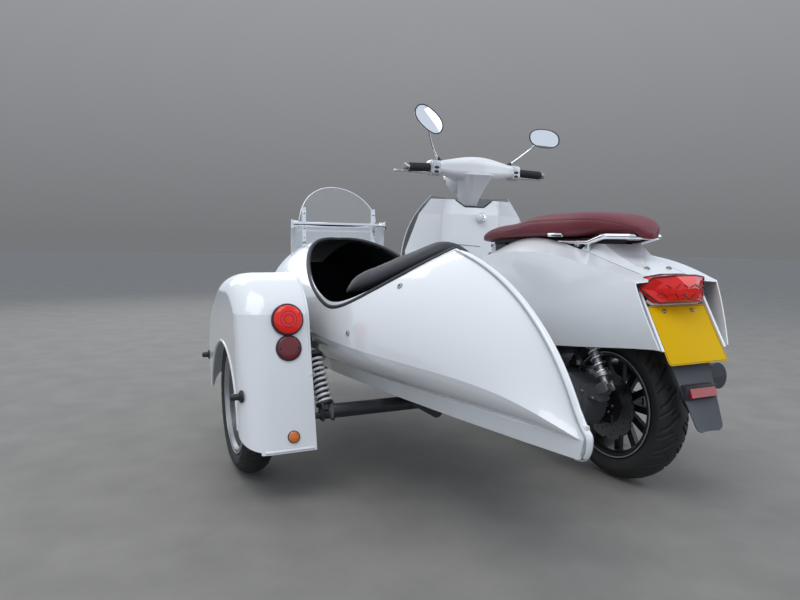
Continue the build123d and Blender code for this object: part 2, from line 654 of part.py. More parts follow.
def panel_face(row, skin):
    y, seam_x, seam_z, crease_x, crease_z, belly_x, belly_z, low_x, low_z = row
    seam, crease = (seam_x, y, seam_z), (crease_x, y, crease_z)
    belly, low = (belly_x, y, belly_z), (low_x, y, low_z)
    seam_in, crease_in = (seam_x, y, seam_z - skin), (crease_x - skin, y, crease_z - skin)
    belly_in, low_in = (belly_x - skin, y, belly_z), (low_x - skin, y, low_z)
    return make_face(Curve() + [
        Line(seam, crease), ThreePointArc(crease, belly, low), Line(low, low_in),
        ThreePointArc(low_in, belly_in, crease_in), Line(crease_in, seam_in), Line(seam_in, seam)])


panel = loft([panel_face(row, PANEL_SKIN) for row in PANEL_SECTIONS])
panel -= prism_x([(168, 700), (266, 455), (300, 380), (500, 380), (500, 700)], 0, 400)
keep("side_panel_left", panel)
keep("side_panel_right", mirrored(panel))


def deck_face(row, skin):
    y, edge_x, edge_z, crown_x, crown_z = row
    top = [(-edge_x, edge_z), (-crown_x, crown_z), (crown_x, crown_z), (edge_x, edge_z)]
    under = [(x, z - skin) for x, z in reversed(top)]
    return make_face(Curve() + polygon_lines([(x, y, z) for x, z in top + under]))


deck = loft([deck_face(row, DECK_SKIN) for row in DECK_SECTIONS], ruled=True)
deck += block((-125, 144, 592), (125, 149, 651))
for side in (-1, 1):
    deck += prism_x([(120, 648), (152, 648), (267, 453), (238, 453)], side * 121 - 4, side * 121 + 4)
    deck -= Pos(side * RACK_BOLT_X, RACK_BOLT_Y, 660) * Cylinder(RACK_BOLT_RADIUS, 60)
deck = deck - panel - mirrored(panel)
keep("tail_deck", max(deck.solids(), key=lambda s: s.volume))

# Tail lamp, number plate, mud flap
lamp = prism_z([(-130, 172), (-90, 224), (0, 244), (90, 224), (130, 172), (90, 150), (-90, 150)], 570, 670)
lamp_front = [(-130, 616), (-104, 648), (-40, 656), (40, 656), (104, 648), (130, 616), (88, 580), (-88, 580)]
lamp = lamp & prism_y(lamp_front, 100, 300)
lamp = lamp & prism_x([(149, 578), (232, 578), (246, 602), (244, 627), (172, 653), (149, 653)], -140, 140)
lamp = lamp - deck - panel - mirrored(panel)
keep("tail_lamp", max(lamp.solids(), key=lambda s: s.volume))

slope = radians(PLATE_SLOPE)
PLATE_BEHIND = 12.0
half_plate = PLATE_HEIGHT / 2
plate_y = PLATE_TOP_Y + PLATE_BEHIND + half_plate * sin(slope)
plate_middle = (0, plate_y, PLATE_TOP_Z - half_plate * cos(slope))
plate_plane = Plane(origin=plate_middle, x_dir=(1, 0, 0), z_dir=(0, cos(slope), sin(slope)))
number_plate = plate_plane * Box(PLATE_WIDTH, PLATE_HEIGHT, 2)
keep("number_plate", number_plate)

flap_side = [(160, 556), (184, 566), (253, 415), (330, 236), (326, 234), (246, 405), (196, 500), (160, 520)]
flap = prism_x(flap_side, -75, 75)
flap = flap & prism_y([(-75, 600), (75, 600), (75, 400), (50, 230), (-50, 230), (-75, 400)], 100, 400)
flap = flap - number_plate
keep("mud_flap", max(flap.solids(), key=lambda s: s.volume))
reflector_y = 253 + (415 - 335) * 77 / 179
reflector = Pos(0, reflector_y + 9, 337) * Rot(23, 0, 0) * Box(98, 14, 28)
keep("rear_reflector", reflector - flap)

# Engine unit, its belt case on the left, silencer on the right, dampers
engine = block((-118, -505, 165), (72, -262, 372))
engine = fillet(engine.edges().filter_by(Axis.X), 40)
engine += rod((-20, -585, 290), (-20, -480, 278), 62)
case = rod((76, -70, 244), (160, -70, 244), 88) + rod((76, -385, 262), (160, -385, 262), 94)
case += block((76, -385, 172), (160, -70, 328))
case += rod((158, -70, 244), (167, -70, 244), 70) - rod((158, -70, 244), (168, -70, 244), 52)
case += rod((158, -385, 262), (167, -385, 262), 78) - rod((158, -385, 262), (168, -385, 262), 58)
case += rod((158, -70, 244), (170, -70, 244), 20) + rod((158, -385, 262), (170, -385, 262), 24)
for z in (206, 228, 250, 272, 294):
    case += block((158, -320, z - 3), (166, -135, z + 3))
engine += case
engine += block((60, -470, 190), (90, -300, 340))
engine += rod((118, 64, 300), (150, 64, 300), 14) + block((118, -30, 270), (150, 70, 310))
engine += rod((-120, -300, 240), (-72, -300, 240), 30)
right_arm = block((-92, -300, 222), (-74, 20, 250)) + rod((-92, 0, 236), (-74, 0, 236), 26)
engine += right_arm
engine += rod((-92, 0, 236), (78, 0, 236), 8.5)
keep("engine_unit", engine - scooter_frame)

muffler = rod((-192, -235, 282), (-204, 186, 345), 40)
pipe = tube([(-60, -470, 176), (-120, -440, 150), (-192, -330, 200), (-192, -225, 284)], 15, 45)
muffler += pipe
keep("silencer", muffler - engine)

left_shock = damper((142, 84, 318), (142, -78, 596), 22, 13, 9)
shocks = (left_shock - engine - scooter_frame)
right_shock = mirrored(damper((142, 84, 318), (142, -78, 596), 22, 13, 9))
right_shock -= muffler
keep("rear_dampers", shocks + (right_shock - scooter_frame))

# Seat and its base, and the rail round its rear
def seat_face(y, half, low, top):
    foot_x = 0.96 * half
    top_x = 0.86 * half
    belly_z = low + 0.35 * (top - low)
    top_z = low + 0.8 * (top - low)
    return make_face(Curve() + [
        Line((-foot_x, y, low), (foot_x, y, low)),
        ThreePointArc((foot_x, y, low), (half, y, belly_z), (top_x, y, top_z)),
        ThreePointArc((top_x, y, top_z), (0, y, top), (-top_x, y, top_z)),
        ThreePointArc((-top_x, y, top_z), (-half, y, belly_z), (-foot_x, y, low))])


cushion = loft([seat_face(*row) for row in SEAT_SECTIONS])
keep("seat_cushion", cushion)
seat_base = block((-90, -640, 741), (90, -100, 757))
seat_base += block((-28, SEAT_HINGE_Y, SEAT_HINGE_Z - 6), (28, -630, 745))
seat_base += rod((-28, SEAT_HINGE_Y, SEAT_HINGE_Z), (28, SEAT_HINGE_Y, SEAT_HINGE_Z), HINGE_BOSS_RADIUS)
seat_base += rod((-LUG_FAR_X, SEAT_HINGE_Y, SEAT_HINGE_Z), (LUG_FAR_X, SEAT_HINGE_Y, SEAT_HINGE_Z),
                 HINGE_PIN_RADIUS)
seat_base -= cushion
keep("seat_base", max(seat_base.solids(), key=lambda s: s.volume))

# Half of the rail's path from its rear bar forward. Columns: x, y, z
RAIL_PATH = [(56, 66, 765), (112, 10, 765), (106, -60, 746), (106, -200, 746)]
rail_points = list(reversed(RAIL_PATH)) + [(-x, y, z) for x, y, z in RAIL_PATH]
grab_rail = tube(rail_points, 9, 26)
for side in (-1, 1):
    grab_rail += rod((side * 98, -60, 704), (side * 106, -60, 744), 6)
grab_rail = grab_rail - deck - scooter_frame - panel - mirrored(panel)
keep("grab_rail", max(grab_rail.solids(), key=lambda s: s.volume))

# Steering: fork, links, mudguard, headset
LEG_X = 80.0
fork = rod((0, axis_y(545), 545), (0, axis_y(1010), 1010), STEERER_RADIUS)
fork += rod((-LEG_X, axis_y(545), 545), (LEG_X, axis_y(545), 545), 16)
for side in (-1, 1):
    leg = [(side * LEG_X, axis_y(545), 545), (side * LEG_X, axis_y(400), 400), (side * LEG_X, -1232, 252)]
    fork += tube(leg, 13, 60)
    fork += rod((side * LEG_X, -1232, 252), (side * LEG_X, FRONT_Y, FRONT_TYRE_RADIUS), 11)
fork += rod((-LEG_X - 8, FRONT_Y, FRONT_TYRE_RADIUS), (LEG_X + 8, FRONT_Y, FRONT_TYRE_RADIUS), 8.5)
keep("fork", fork)
front_shocks = None
for side in (-1, 1):
    unit = damper((side * 106, -1318, 246), (side * 106, -1230, 430), 17, 9, 7)
    unit += rod((side * 88, -1318, 246), (side * 112, -1318, 246), 7)
    unit += rod((side * 88, -1232, 426), (side * 112, -1232, 426), 7)
    unit -= fork
    front_shocks = unit if front_shocks is None else front_shocks + unit
keep("front_dampers", front_shocks)

GUARD_HALF = 64.0
GUARD_SIDE = GUARD_HALF - 2.5
guard_profile = [
    (-GUARD_HALF, 205), (-GUARD_HALF, 244), (-40, 258), (40, 258), (GUARD_HALF, 244), (GUARD_HALF, 205),
    (GUARD_SIDE, 205), (GUARD_SIDE, 243), (39, 255.5), (-39, 255.5), (-GUARD_SIDE, 243), (-GUARD_SIDE, 205)]
front_guard = revolve(make_face(Curve() + polygon_lines([(x, 0, r) for x, r in guard_profile])), Axis.X, 195)
front_guard = Pos(0, FRONT_Y, FRONT_TYRE_RADIUS) * Rot(-75, 0, 0) * front_guard
keep("front_mudguard", front_guard - fork)


def headset_face(x, y, z, depth, height, corner):
    return Plane(origin=(x, y, z), x_dir=(0, 1, 0), z_dir=(1, 0, 0)) * RectangleRounded(depth, height, corner)


# Handlebar cowl. Columns: x, y, z, depth, height, corner radius
HEADSET_SECTIONS = [
    (-186, -925, 1058, 62, 52, 20),
    (-100, -938, 1058, 110, 84, 30),
    (0, -955, 1058, 176, 104, 40),
    (100, -938, 1058, 110, 84, 30),
    (186, -925, 1058, 62, 52, 20),
]
headset = loft([headset_face(*row) for row in HEADSET_SECTIONS])
neck = loft([Pos(0, axis_y(902), 902) * RectangleRounded(80, 88, 34),
             Pos(0, axis_y(960), 960) * RectangleRounded(100, 100, 36),
             Pos(0, axis_y(1030) + 5, 1030) * RectangleRounded(150, 120, 40)])
headset += neck
headset += rod((0, -1060, 1032), (0, -960, 1044), 72)
headset -= rod((0, axis_y(800), 800), (0, axis_y(1010), 1010), STEERER_RADIUS)
bar_path = [(-345, -900, 1048), (-200, -925, 1056), (200, -925, 1056), (345, -900, 1048)]
handlebar = tube(bar_path, 11, 120)
headset -= handlebar
keep("headset", max(headset.solids(), key=lambda s: s.volume))
keep("handlebar", handlebar - fork)
headlamp = rod((0, -1074, 1030.32), (0, -1060.3, 1031.96), 66)
keep("headlamp", headlamp - pieces["headset"])
grips = None
for side in (-1, 1):
    grip = rod((side * 222, -921, 1054.8), (side * 336, -901.5, 1048.5), 17) - handlebar
    grips = grip if grips is None else grips + grip
keep("grips", grips)

# Switch housings with the brake levers
switches = None
for side in (-1, 1):
    housing = rod((side * 189, -926.5, 1056), (side * 220, -921.4, 1055), 25) - handlebar
    switches = housing if switches is None else switches + housing
for side in (-1, 1):
    lever = tube([(side * 205, -944, 1050), (side * 222, -972, 1036), (side * 372, -950, 1036)], 5, 12)
    switches += lever - handlebar
keep("hand_controls", switches - headset)

# Mirrors. Columns: side, foot of the stem, bend of the stem, middle of the head, yaw, roll
MIRRORS = [
    (1, (172, -930, 1082), (236, -900, 1170), (268, -852, 1240), 12, 30),
    (-1, (-172, -930, 1082), (-262, -905, 1150), (-330, -868, 1210), -4, -6),
]
MIRROR_WIDTH = 64.0
MIRROR_HEIGHT = 38.0
MIRROR_RIM = 6.0
mirrors = []
glasses = []
for side, foot, bend, centre, yaw, roll_angle in MIRRORS:
    stem = tube([foot, bend, (centre[0], centre[1] - 8, centre[2])], 4.5, 30)
    frame = Pos(*centre) * Rot(0, roll_angle, yaw) * Rot(90, 0, 0)
    shell = frame * extrude(Ellipse(MIRROR_WIDTH, MIRROR_HEIGHT), 9, both=True)
    recess = Ellipse(MIRROR_WIDTH - MIRROR_RIM, MIRROR_HEIGHT - MIRROR_RIM)
    shell -= frame * Pos(0, 0, -8) * extrude(recess, 4, both=True)
    glass = Ellipse(MIRROR_WIDTH - MIRROR_RIM - 0.4, MIRROR_HEIGHT - MIRROR_RIM - 0.4)
    mirrors.append(shell + (stem - frame * Pos(0, 0, -8) * extrude(recess, 4, both=True) - headset))
    glasses.append(frame * Pos(0, 0, -6.2) * extrude(glass, 1.6, both=True))
keep("mirrors", Compound(children=mirrors))
keep("mirror_glasses", Compound(children=glasses))

# Struts that tie the sidecar's cross tubes to the scooter's frame and engine
struts = rod((24, CROSS_FRONT_Y, CROSS_Z - 6), (200, CROSS_FRONT_Y, CROSS_Z), 16)
struts += rod((150, CROSS_REAR_Y - 120, 262), (240, CROSS_REAR_Y, CROSS_Z), 14)
keep("sidecar_frame", sidecar_frame + (struts - engine - scooter_frame))

os.makedirs("parts", exist_ok=True)
for name, shape in pieces.items():
    moved = Pos(-CENTRE_X, -CENTRE_Y, 0) * shape
    export_step(moved, "parts/" + name + ".step")
    box = moved.bounding_box()
    print(name, len(shape.solids()), round(shape.volume), [round(v) for v in (*box.min, *box.max)])
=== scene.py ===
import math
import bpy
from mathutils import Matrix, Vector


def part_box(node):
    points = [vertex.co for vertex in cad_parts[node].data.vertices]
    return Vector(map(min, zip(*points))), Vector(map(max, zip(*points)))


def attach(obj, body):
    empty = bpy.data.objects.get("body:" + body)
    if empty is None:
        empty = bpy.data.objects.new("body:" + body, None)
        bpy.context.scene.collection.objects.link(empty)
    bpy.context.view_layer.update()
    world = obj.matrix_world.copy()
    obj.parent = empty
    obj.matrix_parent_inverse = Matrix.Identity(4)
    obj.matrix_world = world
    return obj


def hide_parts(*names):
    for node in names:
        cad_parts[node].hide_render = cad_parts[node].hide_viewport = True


bl_info = {
    "name": "Scooter with sidecar",
    "version": (1, 0, 0),
    "blender": (4, 5, 0),
    "location": "3D View > Sidebar > Sidecar",
    "description": "Dresses the packed scooter and sidecar: paint, leather, rubber, lamps, tread and chrome",
    "category": "Object",
}

import bmesh
import bpy
import numpy as np
from mathutils import Matrix, Vector
from mathutils.bvhtree import BVHTree

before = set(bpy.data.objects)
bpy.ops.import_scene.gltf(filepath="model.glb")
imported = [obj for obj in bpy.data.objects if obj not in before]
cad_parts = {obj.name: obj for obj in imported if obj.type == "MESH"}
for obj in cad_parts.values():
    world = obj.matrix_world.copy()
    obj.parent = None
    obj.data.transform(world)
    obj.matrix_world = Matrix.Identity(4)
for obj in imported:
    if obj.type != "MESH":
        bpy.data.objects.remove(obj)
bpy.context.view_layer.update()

rear_low, rear_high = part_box("rear_tyre")
AXLE = np.array([(rear_low.x + rear_high.x) / 2, (rear_low.y + rear_high.y) / 2, 0.0])

# The photograph and its camera
PHOTO_WIDTH, PHOTO_HEIGHT = 800, 600
CAMERA_PLACE = (1.479, 1.483, 0.744)
CAMERA_YAW = 25.04
CAMERA_PITCH = 5.45
CAMERA_ROLL = -0.78
CAMERA_FOCAL_PIXELS = 626.6
SENSOR_WIDTH = 36.0

# Places from which rays look for a part's surface
ABOVE = 1.3
BESIDE = 1.4
DOWN = (0, 0, -1)
MIRRORED = (-1, 1, 1)

# Wheels
REAR_AXLE_Z = 0.236
SMALL_AXLE_Z = 0.2295
SIDECAR_AXLE_Y = -0.51
RIM_FLANGE = 0.166
BEAD_SEAT = 0.155
TREAD_DROP = 0.016
SIDEWALL_RELIEF = 0.0012
STEPS_PER_PITCH = 34
WHEEL_BOLTS = 5
DISC_HOLES = 30
# Columns: name, radius, width, rim half width, x, y, body, pitch of the tread
TYRES = [
    ("rear", REAR_AXLE_Z, 0.12, 0.045, 0.0, 0.0, "rear_wheel", 0.074),
    ("front", SMALL_AXLE_Z, 0.108, 0.04, 0.0, -1.34, "front_wheel", 0.072),
    ("sidecar", SMALL_AXLE_Z, 0.1, 0.037, 1.085, SIDECAR_AXLE_Y, "sidecar_wheel", 0.072),
]
# Grooves. Columns: phases on the two sides, start and end across the tread, lean, half width
TREAD_CUTS = [
    ((0.0, 0.5), 0.006, 0.064, 0.95, 0.0042),
    ((0.48, 0.98), 0.026, 0.066, 0.8, 0.0032),
    ((0.8, 0.3), 0.014, 0.034, 0.7, 0.0025),
]

# Sidecar
HULL_X = 0.631
COCKPIT_Y = -0.36
COCKPIT_HALF = 0.24
COCKPIT_FRONT = 0.57
COCKPIT_REAR = 0.37
LINING_Z = 0.44
SCREEN_RADIUS = 0.2248
SCREEN_CENTRE_Y = -0.7722
ARCH_RADIUS = 0.2455
ARCH_Z = 0.176
REAR_SLOPE = math.atan2(0.082, 0.38)

# Centres of the belt case's round ends: y, z
BELT_PULLEY = (-0.3, 0.262)
REAR_HUB = (0.0, REAR_AXLE_Z)

# Plan of the seam between the scooter's side panel and its deck
SEAM_Y = (-0.64, -0.47, -0.2, 0.02, 0.15, 0.285)
SEAM_X = (0.104, 0.116, 0.118, 0.103, 0.09, 0.084)


def direction(*parts):
    """A vector of length one."""
    vector = np.array(parts, float)
    return vector / np.linalg.norm(vector)


def swell(values, power):
    """Numbers raised to a power, with their signs kept."""
    return np.sign(values) * np.abs(values) ** power


def cubic(knots, values, at):
    """Values of a natural cubic spline through the knots."""
    knots, values, at = (np.asarray(part, float) for part in (knots, values, at))
    flat = values.reshape(len(knots), -1)
    step = np.diff(knots)
    system = np.eye(len(knots))
    right = np.zeros_like(flat)
    for i in range(1, len(knots) - 1):
        system[i, i - 1:i + 2] = step[i - 1], 2 * (step[i - 1] + step[i]), step[i]
        right[i] = 6 * ((flat[i + 1] - flat[i]) / step[i] - (flat[i] - flat[i - 1]) / step[i - 1])
    bend = np.linalg.solve(system, right)
    low = np.clip(np.searchsorted(knots, at) - 1, 0, len(knots) - 2)
    width = step[low][:, None]
    before = (at - knots[low])[:, None]
    after = (knots[low + 1] - at)[:, None]
    found = (bend[low] * after ** 3 + bend[low + 1] * before ** 3) / (6 * width)
    found += (flat[low] / width - bend[low] * width / 6) * after
    found += (flat[low + 1] / width - bend[low + 1] * width / 6) * before
    return found.reshape((len(at),) + values.shape[1:])


def reach_along(points):
    """How far along a line each of its points is."""
    return np.concatenate([[0], np.cumsum(np.linalg.norm(np.diff(points, axis=0), axis=1))])


def through(points, count):
    """A smooth line of evenly spaced points through the given ones."""
    reach = reach_along(points)
    return even(cubic(reach, points, np.linspace(0, reach[-1], 8 * count)), count)


def even(points, count):
    """The same line with evenly spaced points."""
    points = np.asarray(points, float)
    reach = reach_along(points)
    at = np.linspace(0, reach[-1], count)
    return np.stack([np.interp(at, reach, points[:, k]) for k in range(points.shape[1])], axis=1)


def arc(start, middle, end, count):
    """Points of the circle's arc from start to end by way of middle, in a plane."""
    (ax, ay), (bx, by), (cx, cy) = start, middle, end
    turn = 2 * (ax * (by - cy) + bx * (cy - ay) + cx * (ay - by))
    squares = [ax * ax + ay * ay, bx * bx + by * by, cx * cx + cy * cy]
    x = (squares[0] * (by - cy) + squares[1] * (cy - ay) + squares[2] * (ay - by)) / turn
    y = (squares[0] * (cx - bx) + squares[1] * (ax - cx) + squares[2] * (bx - ax)) / turn
    radius = math.hypot(ax - x, ay - y)
    first, mid, last = (math.atan2(py - y, px - x) for px, py in (start, middle, end))
    sweep = (last - first) % math.tau
    if (mid - first) % math.tau > sweep:
        sweep -= math.tau
    angles = first + sweep * np.linspace(0, 1, count)
    return np.stack([x + radius * np.cos(angles), y + radius * np.sin(angles)], axis=1)


def rounded(points, radius, per=6, closed=False):
    """A line with its corners rounded."""
    points = [np.asarray(p, float) for p in points]
    count = len(points)
    line = []
    for i, corner in enumerate(points):
        if not closed and i in (0, count - 1):
            line.append(corner)
            continue
        before, after = points[i - 1] - corner, points[(i + 1) % count] - corner
        reach = min(radius, 0.48 * np.linalg.norm(before), 0.48 * np.linalg.norm(after))
        start = corner + before / np.linalg.norm(before) * reach
        end = corner + after / np.linalg.norm(after) * reach
        for t in np.linspace(0, 1, per):
            line.append((1 - t) ** 2 * start + 2 * t * (1 - t) * corner + t * t * end)
    return np.array(line)


def across(axis):
    """Two unit vectors square to an axis and to each other."""
    axis = np.asarray(axis, float)
    axis = axis / np.linalg.norm(axis)
    help_axis = np.array([0.0, 0.0, 1.0]) if abs(axis[2]) < 0.9 else np.array([0.0, 1.0, 0.0])
    first = np.cross(help_axis, axis)
    first /= np.linalg.norm(first)
    return first, np.cross(axis, first)


def pipe(path, radius, sides=16):
    """Rings of a round bar along a path; the radius may change along it."""
    path = np.asarray(path, float)
    radius = np.broadcast_to(np.asarray(radius, float), (len(path),))
    tangents = np.gradient(path, axis=0)
    tangents /= np.linalg.norm(tangents, axis=1)[:, None]
    first, second = across(tangents[0])
    angles = np.linspace(0, math.tau, sides, endpoint=False)
    rings = []
    for point, tangent, size in zip(path, tangents, radius):
        first = first - tangent * np.dot(first, tangent)
        first /= np.linalg.norm(first)
        second = np.cross(tangent, first)
        rings.append(point + size * (np.cos(angles)[:, None] * first + np.sin(angles)[:, None] * second))
    return np.array(rings)


def lathe(profile, centre, axis, steps=48):
    """Rings of a form turned about an axis; the profile's columns are distance along it and radius."""
    axis = np.asarray(axis, float) / np.linalg.norm(axis)
    first, second = across(axis)
    angles = np.linspace(0, math.tau, steps, endpoint=False)
    spokes = np.cos(angles)[:, None] * first + np.sin(angles)[:, None] * second
    return np.array([np.asarray(centre) + along * axis + radius * spokes for along, radius in profile])


def offset_outline(outline, inset):
    """A closed flat outline moved inward by the inset."""
    outline = np.asarray(outline, float)
    before = outline - np.roll(outline, 1, axis=0)
    after = np.roll(outline, -1, axis=0) - outline
    before /= np.linalg.norm(before, axis=1)[:, None] + 1e-12
    after /= np.linalg.norm(after, axis=1)[:, None] + 1e-12
    area = np.sum(outline[:, 0] * np.roll(outline[:, 1], -1) - np.roll(outline[:, 0], -1) * outline[:, 1])
    side = 1.0 if area > 0 else -1.0
    normal = np.stack([-(before[:, 1] + after[:, 1]), before[:, 0] + after[:, 0]], axis=1) * side
    length = np.linalg.norm(normal, axis=1)[:, None] + 1e-12
    normal = normal / length
    cosine = np.clip(length / 2, 0.5, 1)
    return outline + normal * inset / cosine


def slab(outline, low, high, bevel, origin, x_dir, y_dir, steps=3):
    """Rings of a flat outline given thickness, with rounded edges, in a plane of its own."""
    x_dir, y_dir = direction(*x_dir), direction(*y_dir)
    normal = np.cross(x_dir, y_dir)
    rings = []
    turns = np.linspace(0, math.pi / 2, steps + 1)
    levels = [(low + bevel * (1 - math.sin(t)), bevel * (1 - math.cos(t))) for t in turns[::-1]]
    levels += [(high - bevel * (1 - math.sin(t)), bevel * (1 - math.cos(t))) for t in turns]
    for level, inset in levels:
        flat = offset_outline(outline, inset)
        rings.append(np.asarray(origin) + flat[:, :1] * x_dir + flat[:, 1:2] * y_dir + level * normal)
    return np.array(rings)


def oval(width, height, count=64, power=2.0):
    """A closed oval outline; a higher power makes it squarer."""
    angles = np.linspace(0, math.tau, count, endpoint=False)
    across_it, up = (swell(part, 2 / power) for part in (np.cos(angles), np.sin(angles)))
    return np.stack([width * across_it, height * up], axis=1)


class Shape:
    """Points and faces gathered before a piece is made; a finish is a place in the piece's list of them."""

    def __init__(self):
        self.points = []
        self.faces = []
        self.finishes = []

    def add(self, points, faces, finish=0):
        base = len(self.points)
        self.points += [tuple(p) for p in np.asarray(points).reshape(-1, 3)]
        self.faces += [[base + i for i in face] for face in faces]
        self.finishes += [finish] * len(faces)
        return self

    def sheet(self, grid, finish=0, around=False, loop=False, caps=False):
        """A grid of points; around joins each row's ends, loop joins the last row to the first."""
        grid = np.asarray(grid, float)
        rows, columns = grid.shape[:2]
        faces = []
        for i in range(rows if loop else rows - 1):
            for j in range(columns if around else columns - 1):
                a, b = i * columns, ((i + 1) % rows) * columns
                k = (j + 1) % columns
                faces.append((a + j, a + k, b + k, b + j))
        if caps:
            faces.append(tuple(range(columns))[::-1])
            faces.append(tuple((rows - 1) * columns + j for j in range(columns)))
        return self.add(grid, faces, finish)

    def turned(self, profile, centre, axis, steps=48, finish=0):
        """A solid turned about an axis."""
        return self.sheet(lathe(profile, centre, axis, steps), finish, around=True, caps=True)

    def plate(self, outline, low, high, bevel, finish=0, origin=(0, 0, 0), x_dir=(0, 1, 0), y_dir=(0, 0, 1),
              steps=3):
        """A flat outline given thickness."""
        rings = slab(outline, low, high, bevel, origin, x_dir, y_dir, steps)
        return self.sheet(rings, finish, around=True, caps=True)

    def ball(self, centre, size, finish=0, power=2.0, steps=8):
        """A ball; a higher power makes it a rounded box."""
        for grid in box_ball(centre, size, power, steps):
            self.sheet(grid, finish)
        return self

    def rod(self, start, end, radius, finish=0, sides=20):
        """A straight round bar with bevelled ends."""
        start, end = np.asarray(start, float), np.asarray(end, float)
        length = np.linalg.norm(end - start)
        bevel = min(0.0008, radius / 2, length / 3)
        profile = [(0, radius - bevel), (bevel, radius), (length - bevel, radius), (length, radius - bevel)]
        return self.turned(profile, start, end - start, sides, finish)

    def bar(self, path, radius, finish=0, sides=14):
        """A round bar along a path."""
        return self.sheet(pipe(path, radius, sides), finish, around=True, caps=True)

    def block(self, low, high, finish=0, bevel=0.002):
        """A box with rounded edges."""
        outline = [(low[0], low[1]), (high[0], low[1]), (high[0], high[1]), (low[0], high[1])]
        return self.plate(rounded(outline, bevel, 3, closed=True), low[2], high[2],
                          min(bevel, (high[2] - low[2]) / 3), finish, (0, 0, 0), (1, 0, 0), (0, 1, 0), 2)

    def coil(self, low, high, radius, wire, turns, finish=0, sides=8):
        """A spring between two places."""
        first, second = across(high - low)
        at = np.linspace(0, 1, int(turns * 20))
        angles = at * turns * math.tau
        path = low + at[:, None] * (high - low)
        path = path + radius * (np.cos(angles)[:, None] * first + np.sin(angles)[:, None] * second)
        return self.bar(path, wire, finish, sides)


def piece(name, shape, finishes, nodes=(), body="chassis", crease=38.0, thickness=0.0, merge=0.0):
    """Make a Blender object of a shape, riding on a body and standing for CAD nodes."""
    mesh = bpy.data.meshes.new(name)
    points = np.array(shape.points) + AXLE
    mesh.from_pydata([tuple(p) for p in points], [], shape.faces)
    for finish_name in [finishes] if isinstance(finishes, str) else finishes:
        mesh.materials.append(M[finish_name])
    mesh.polygons.foreach_set("material_index", shape.finishes)
    clean = bmesh.new()
    clean.from_mesh(mesh)
    if merge:
        bmesh.ops.remove_doubles(clean, verts=clean.verts, dist=merge)
    bmesh.ops.recalc_face_normals(clean, faces=clean.faces)
    clean.to_mesh(mesh)
    clean.free()
    made = bpy.data.objects.new(name, mesh)
    bpy.context.scene.collection.objects.link(made)
    if thickness:
        skin = made.modifiers.new("skin", "SOLIDIFY")
        skin.thickness = thickness
        skin.offset = -1
        settle(made)
    made.data.shade_smooth()
    made.data.set_sharp_from_angle(angle=math.radians(crease))
    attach(made, body)
    if nodes:
        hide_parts(*nodes)
    return made


def settle(made):
    """Apply every modifier of an object to its mesh."""
    graph = bpy.context.evaluated_depsgraph_get()
    mesh = bpy.data.meshes.new_from_object(made.evaluated_get(graph))
    made.modifiers.clear()
    made.data = mesh


def finish(name, colour, roughness, metallic=0.0, coat=0.0, grain=0.004, relief=0.0, shade=0.04,
           rough_spread=0.08, pattern="NOISE", alpha=1.0, ior=1.5, glow=0.0):
    """A material whose colour, roughness and relief vary by a noise or a cell pattern."""
    material = bpy.data.materials.new(name)
    material.use_nodes = True
    nodes, links = material.node_tree.nodes, material.node_tree.links
    shader = nodes["Principled BSDF"]
    shader.inputs["Metallic"].default_value = metallic
    shader.inputs["Coat Weight"].default_value = coat
    shader.inputs["Coat Roughness"].default_value = 0.03
    shader.inputs["Emission Color"].default_value = [*colour[:3], 1]
    shader.inputs["Emission Strength"].default_value = glow
    shader.inputs["Alpha"].default_value = alpha
    shader.inputs["IOR"].default_value = ior
    place = nodes.new("ShaderNodeTexCoord")
    broad = nodes.new("ShaderNodeTexNoise")
    broad.inputs["Scale"].default_value = 6.0
    broad.inputs["Detail"].default_value = 5.0
    links.new(place.outputs["Object"], broad.inputs["Vector"])
    tone = nodes.new("ShaderNodeValToRGB")
    tone.color_ramp.elements[0].position = 0.3
    tone.color_ramp.elements[1].position = 0.7
    tone.color_ramp.elements[0].color = [c * (1 - shade) for c in colour[:3]] + [1]
    tone.color_ramp.elements[1].color = [min(1, c * (1 + shade)) for c in colour[:3]] + [1]
    links.new(broad.outputs["Fac"], tone.inputs["Fac"])
    links.new(tone.outputs["Color"], shader.inputs["Base Color"])
    spread = nodes.new("ShaderNodeMapRange")
    spread.inputs["To Min"].default_value = max(0.02, roughness - rough_spread)
    spread.inputs["To Max"].default_value = min(1.0, roughness + rough_spread)
    links.new(broad.outputs["Fac"], spread.inputs["Value"])
    links.new(spread.outputs["Result"], shader.inputs["Roughness"])
    if relief:
        kind = "ShaderNodeTexVoronoi" if pattern == "CELLS" else "ShaderNodeTexNoise"
        fine = nodes.new(kind)
        fine.inputs["Scale"].default_value = 1.0 / grain
        links.new(place.outputs["Object"], fine.inputs["Vector"])
        bump = nodes.new("ShaderNodeBump")
        bump.inputs["Strength"].default_value = 0.6
        bump.inputs["Distance"].default_value = relief
        height = fine.outputs["Distance"] if pattern == "CELLS" else fine.outputs["Fac"]
        links.new(height, bump.inputs["Height"])
        links.new(bump.outputs["Normal"], shader.inputs["Normal"])
    return material


TREES = {}


def hit(node, start, ray):
    """Where a ray first meets a CAD node and how the surface faces there, or None."""
    if node not in TREES:
        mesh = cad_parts[node].data
        faces = [tuple(face.vertices) for face in mesh.polygons]
        TREES[node] = BVHTree.FromPolygons([vertex.co[:] for vertex in mesh.vertices], faces)
    start = Vector(np.asarray(start, float) + AXLE)
    place, normal, _, _ = TREES[node].ray_cast(start, Vector(direction(*ray)))
    if place is None:
        return None
    normal = np.array(normal)
    if np.dot(normal, ray) > 0:
        normal = -normal
    return np.array(place) - AXLE, normal


def on(node, start, ray):
    """As hit, but the surface has to be there."""
    found = hit(node, start, ray)
    if found is None:
        raise RuntimeError(f"{node} has no surface at {start}")
    return found


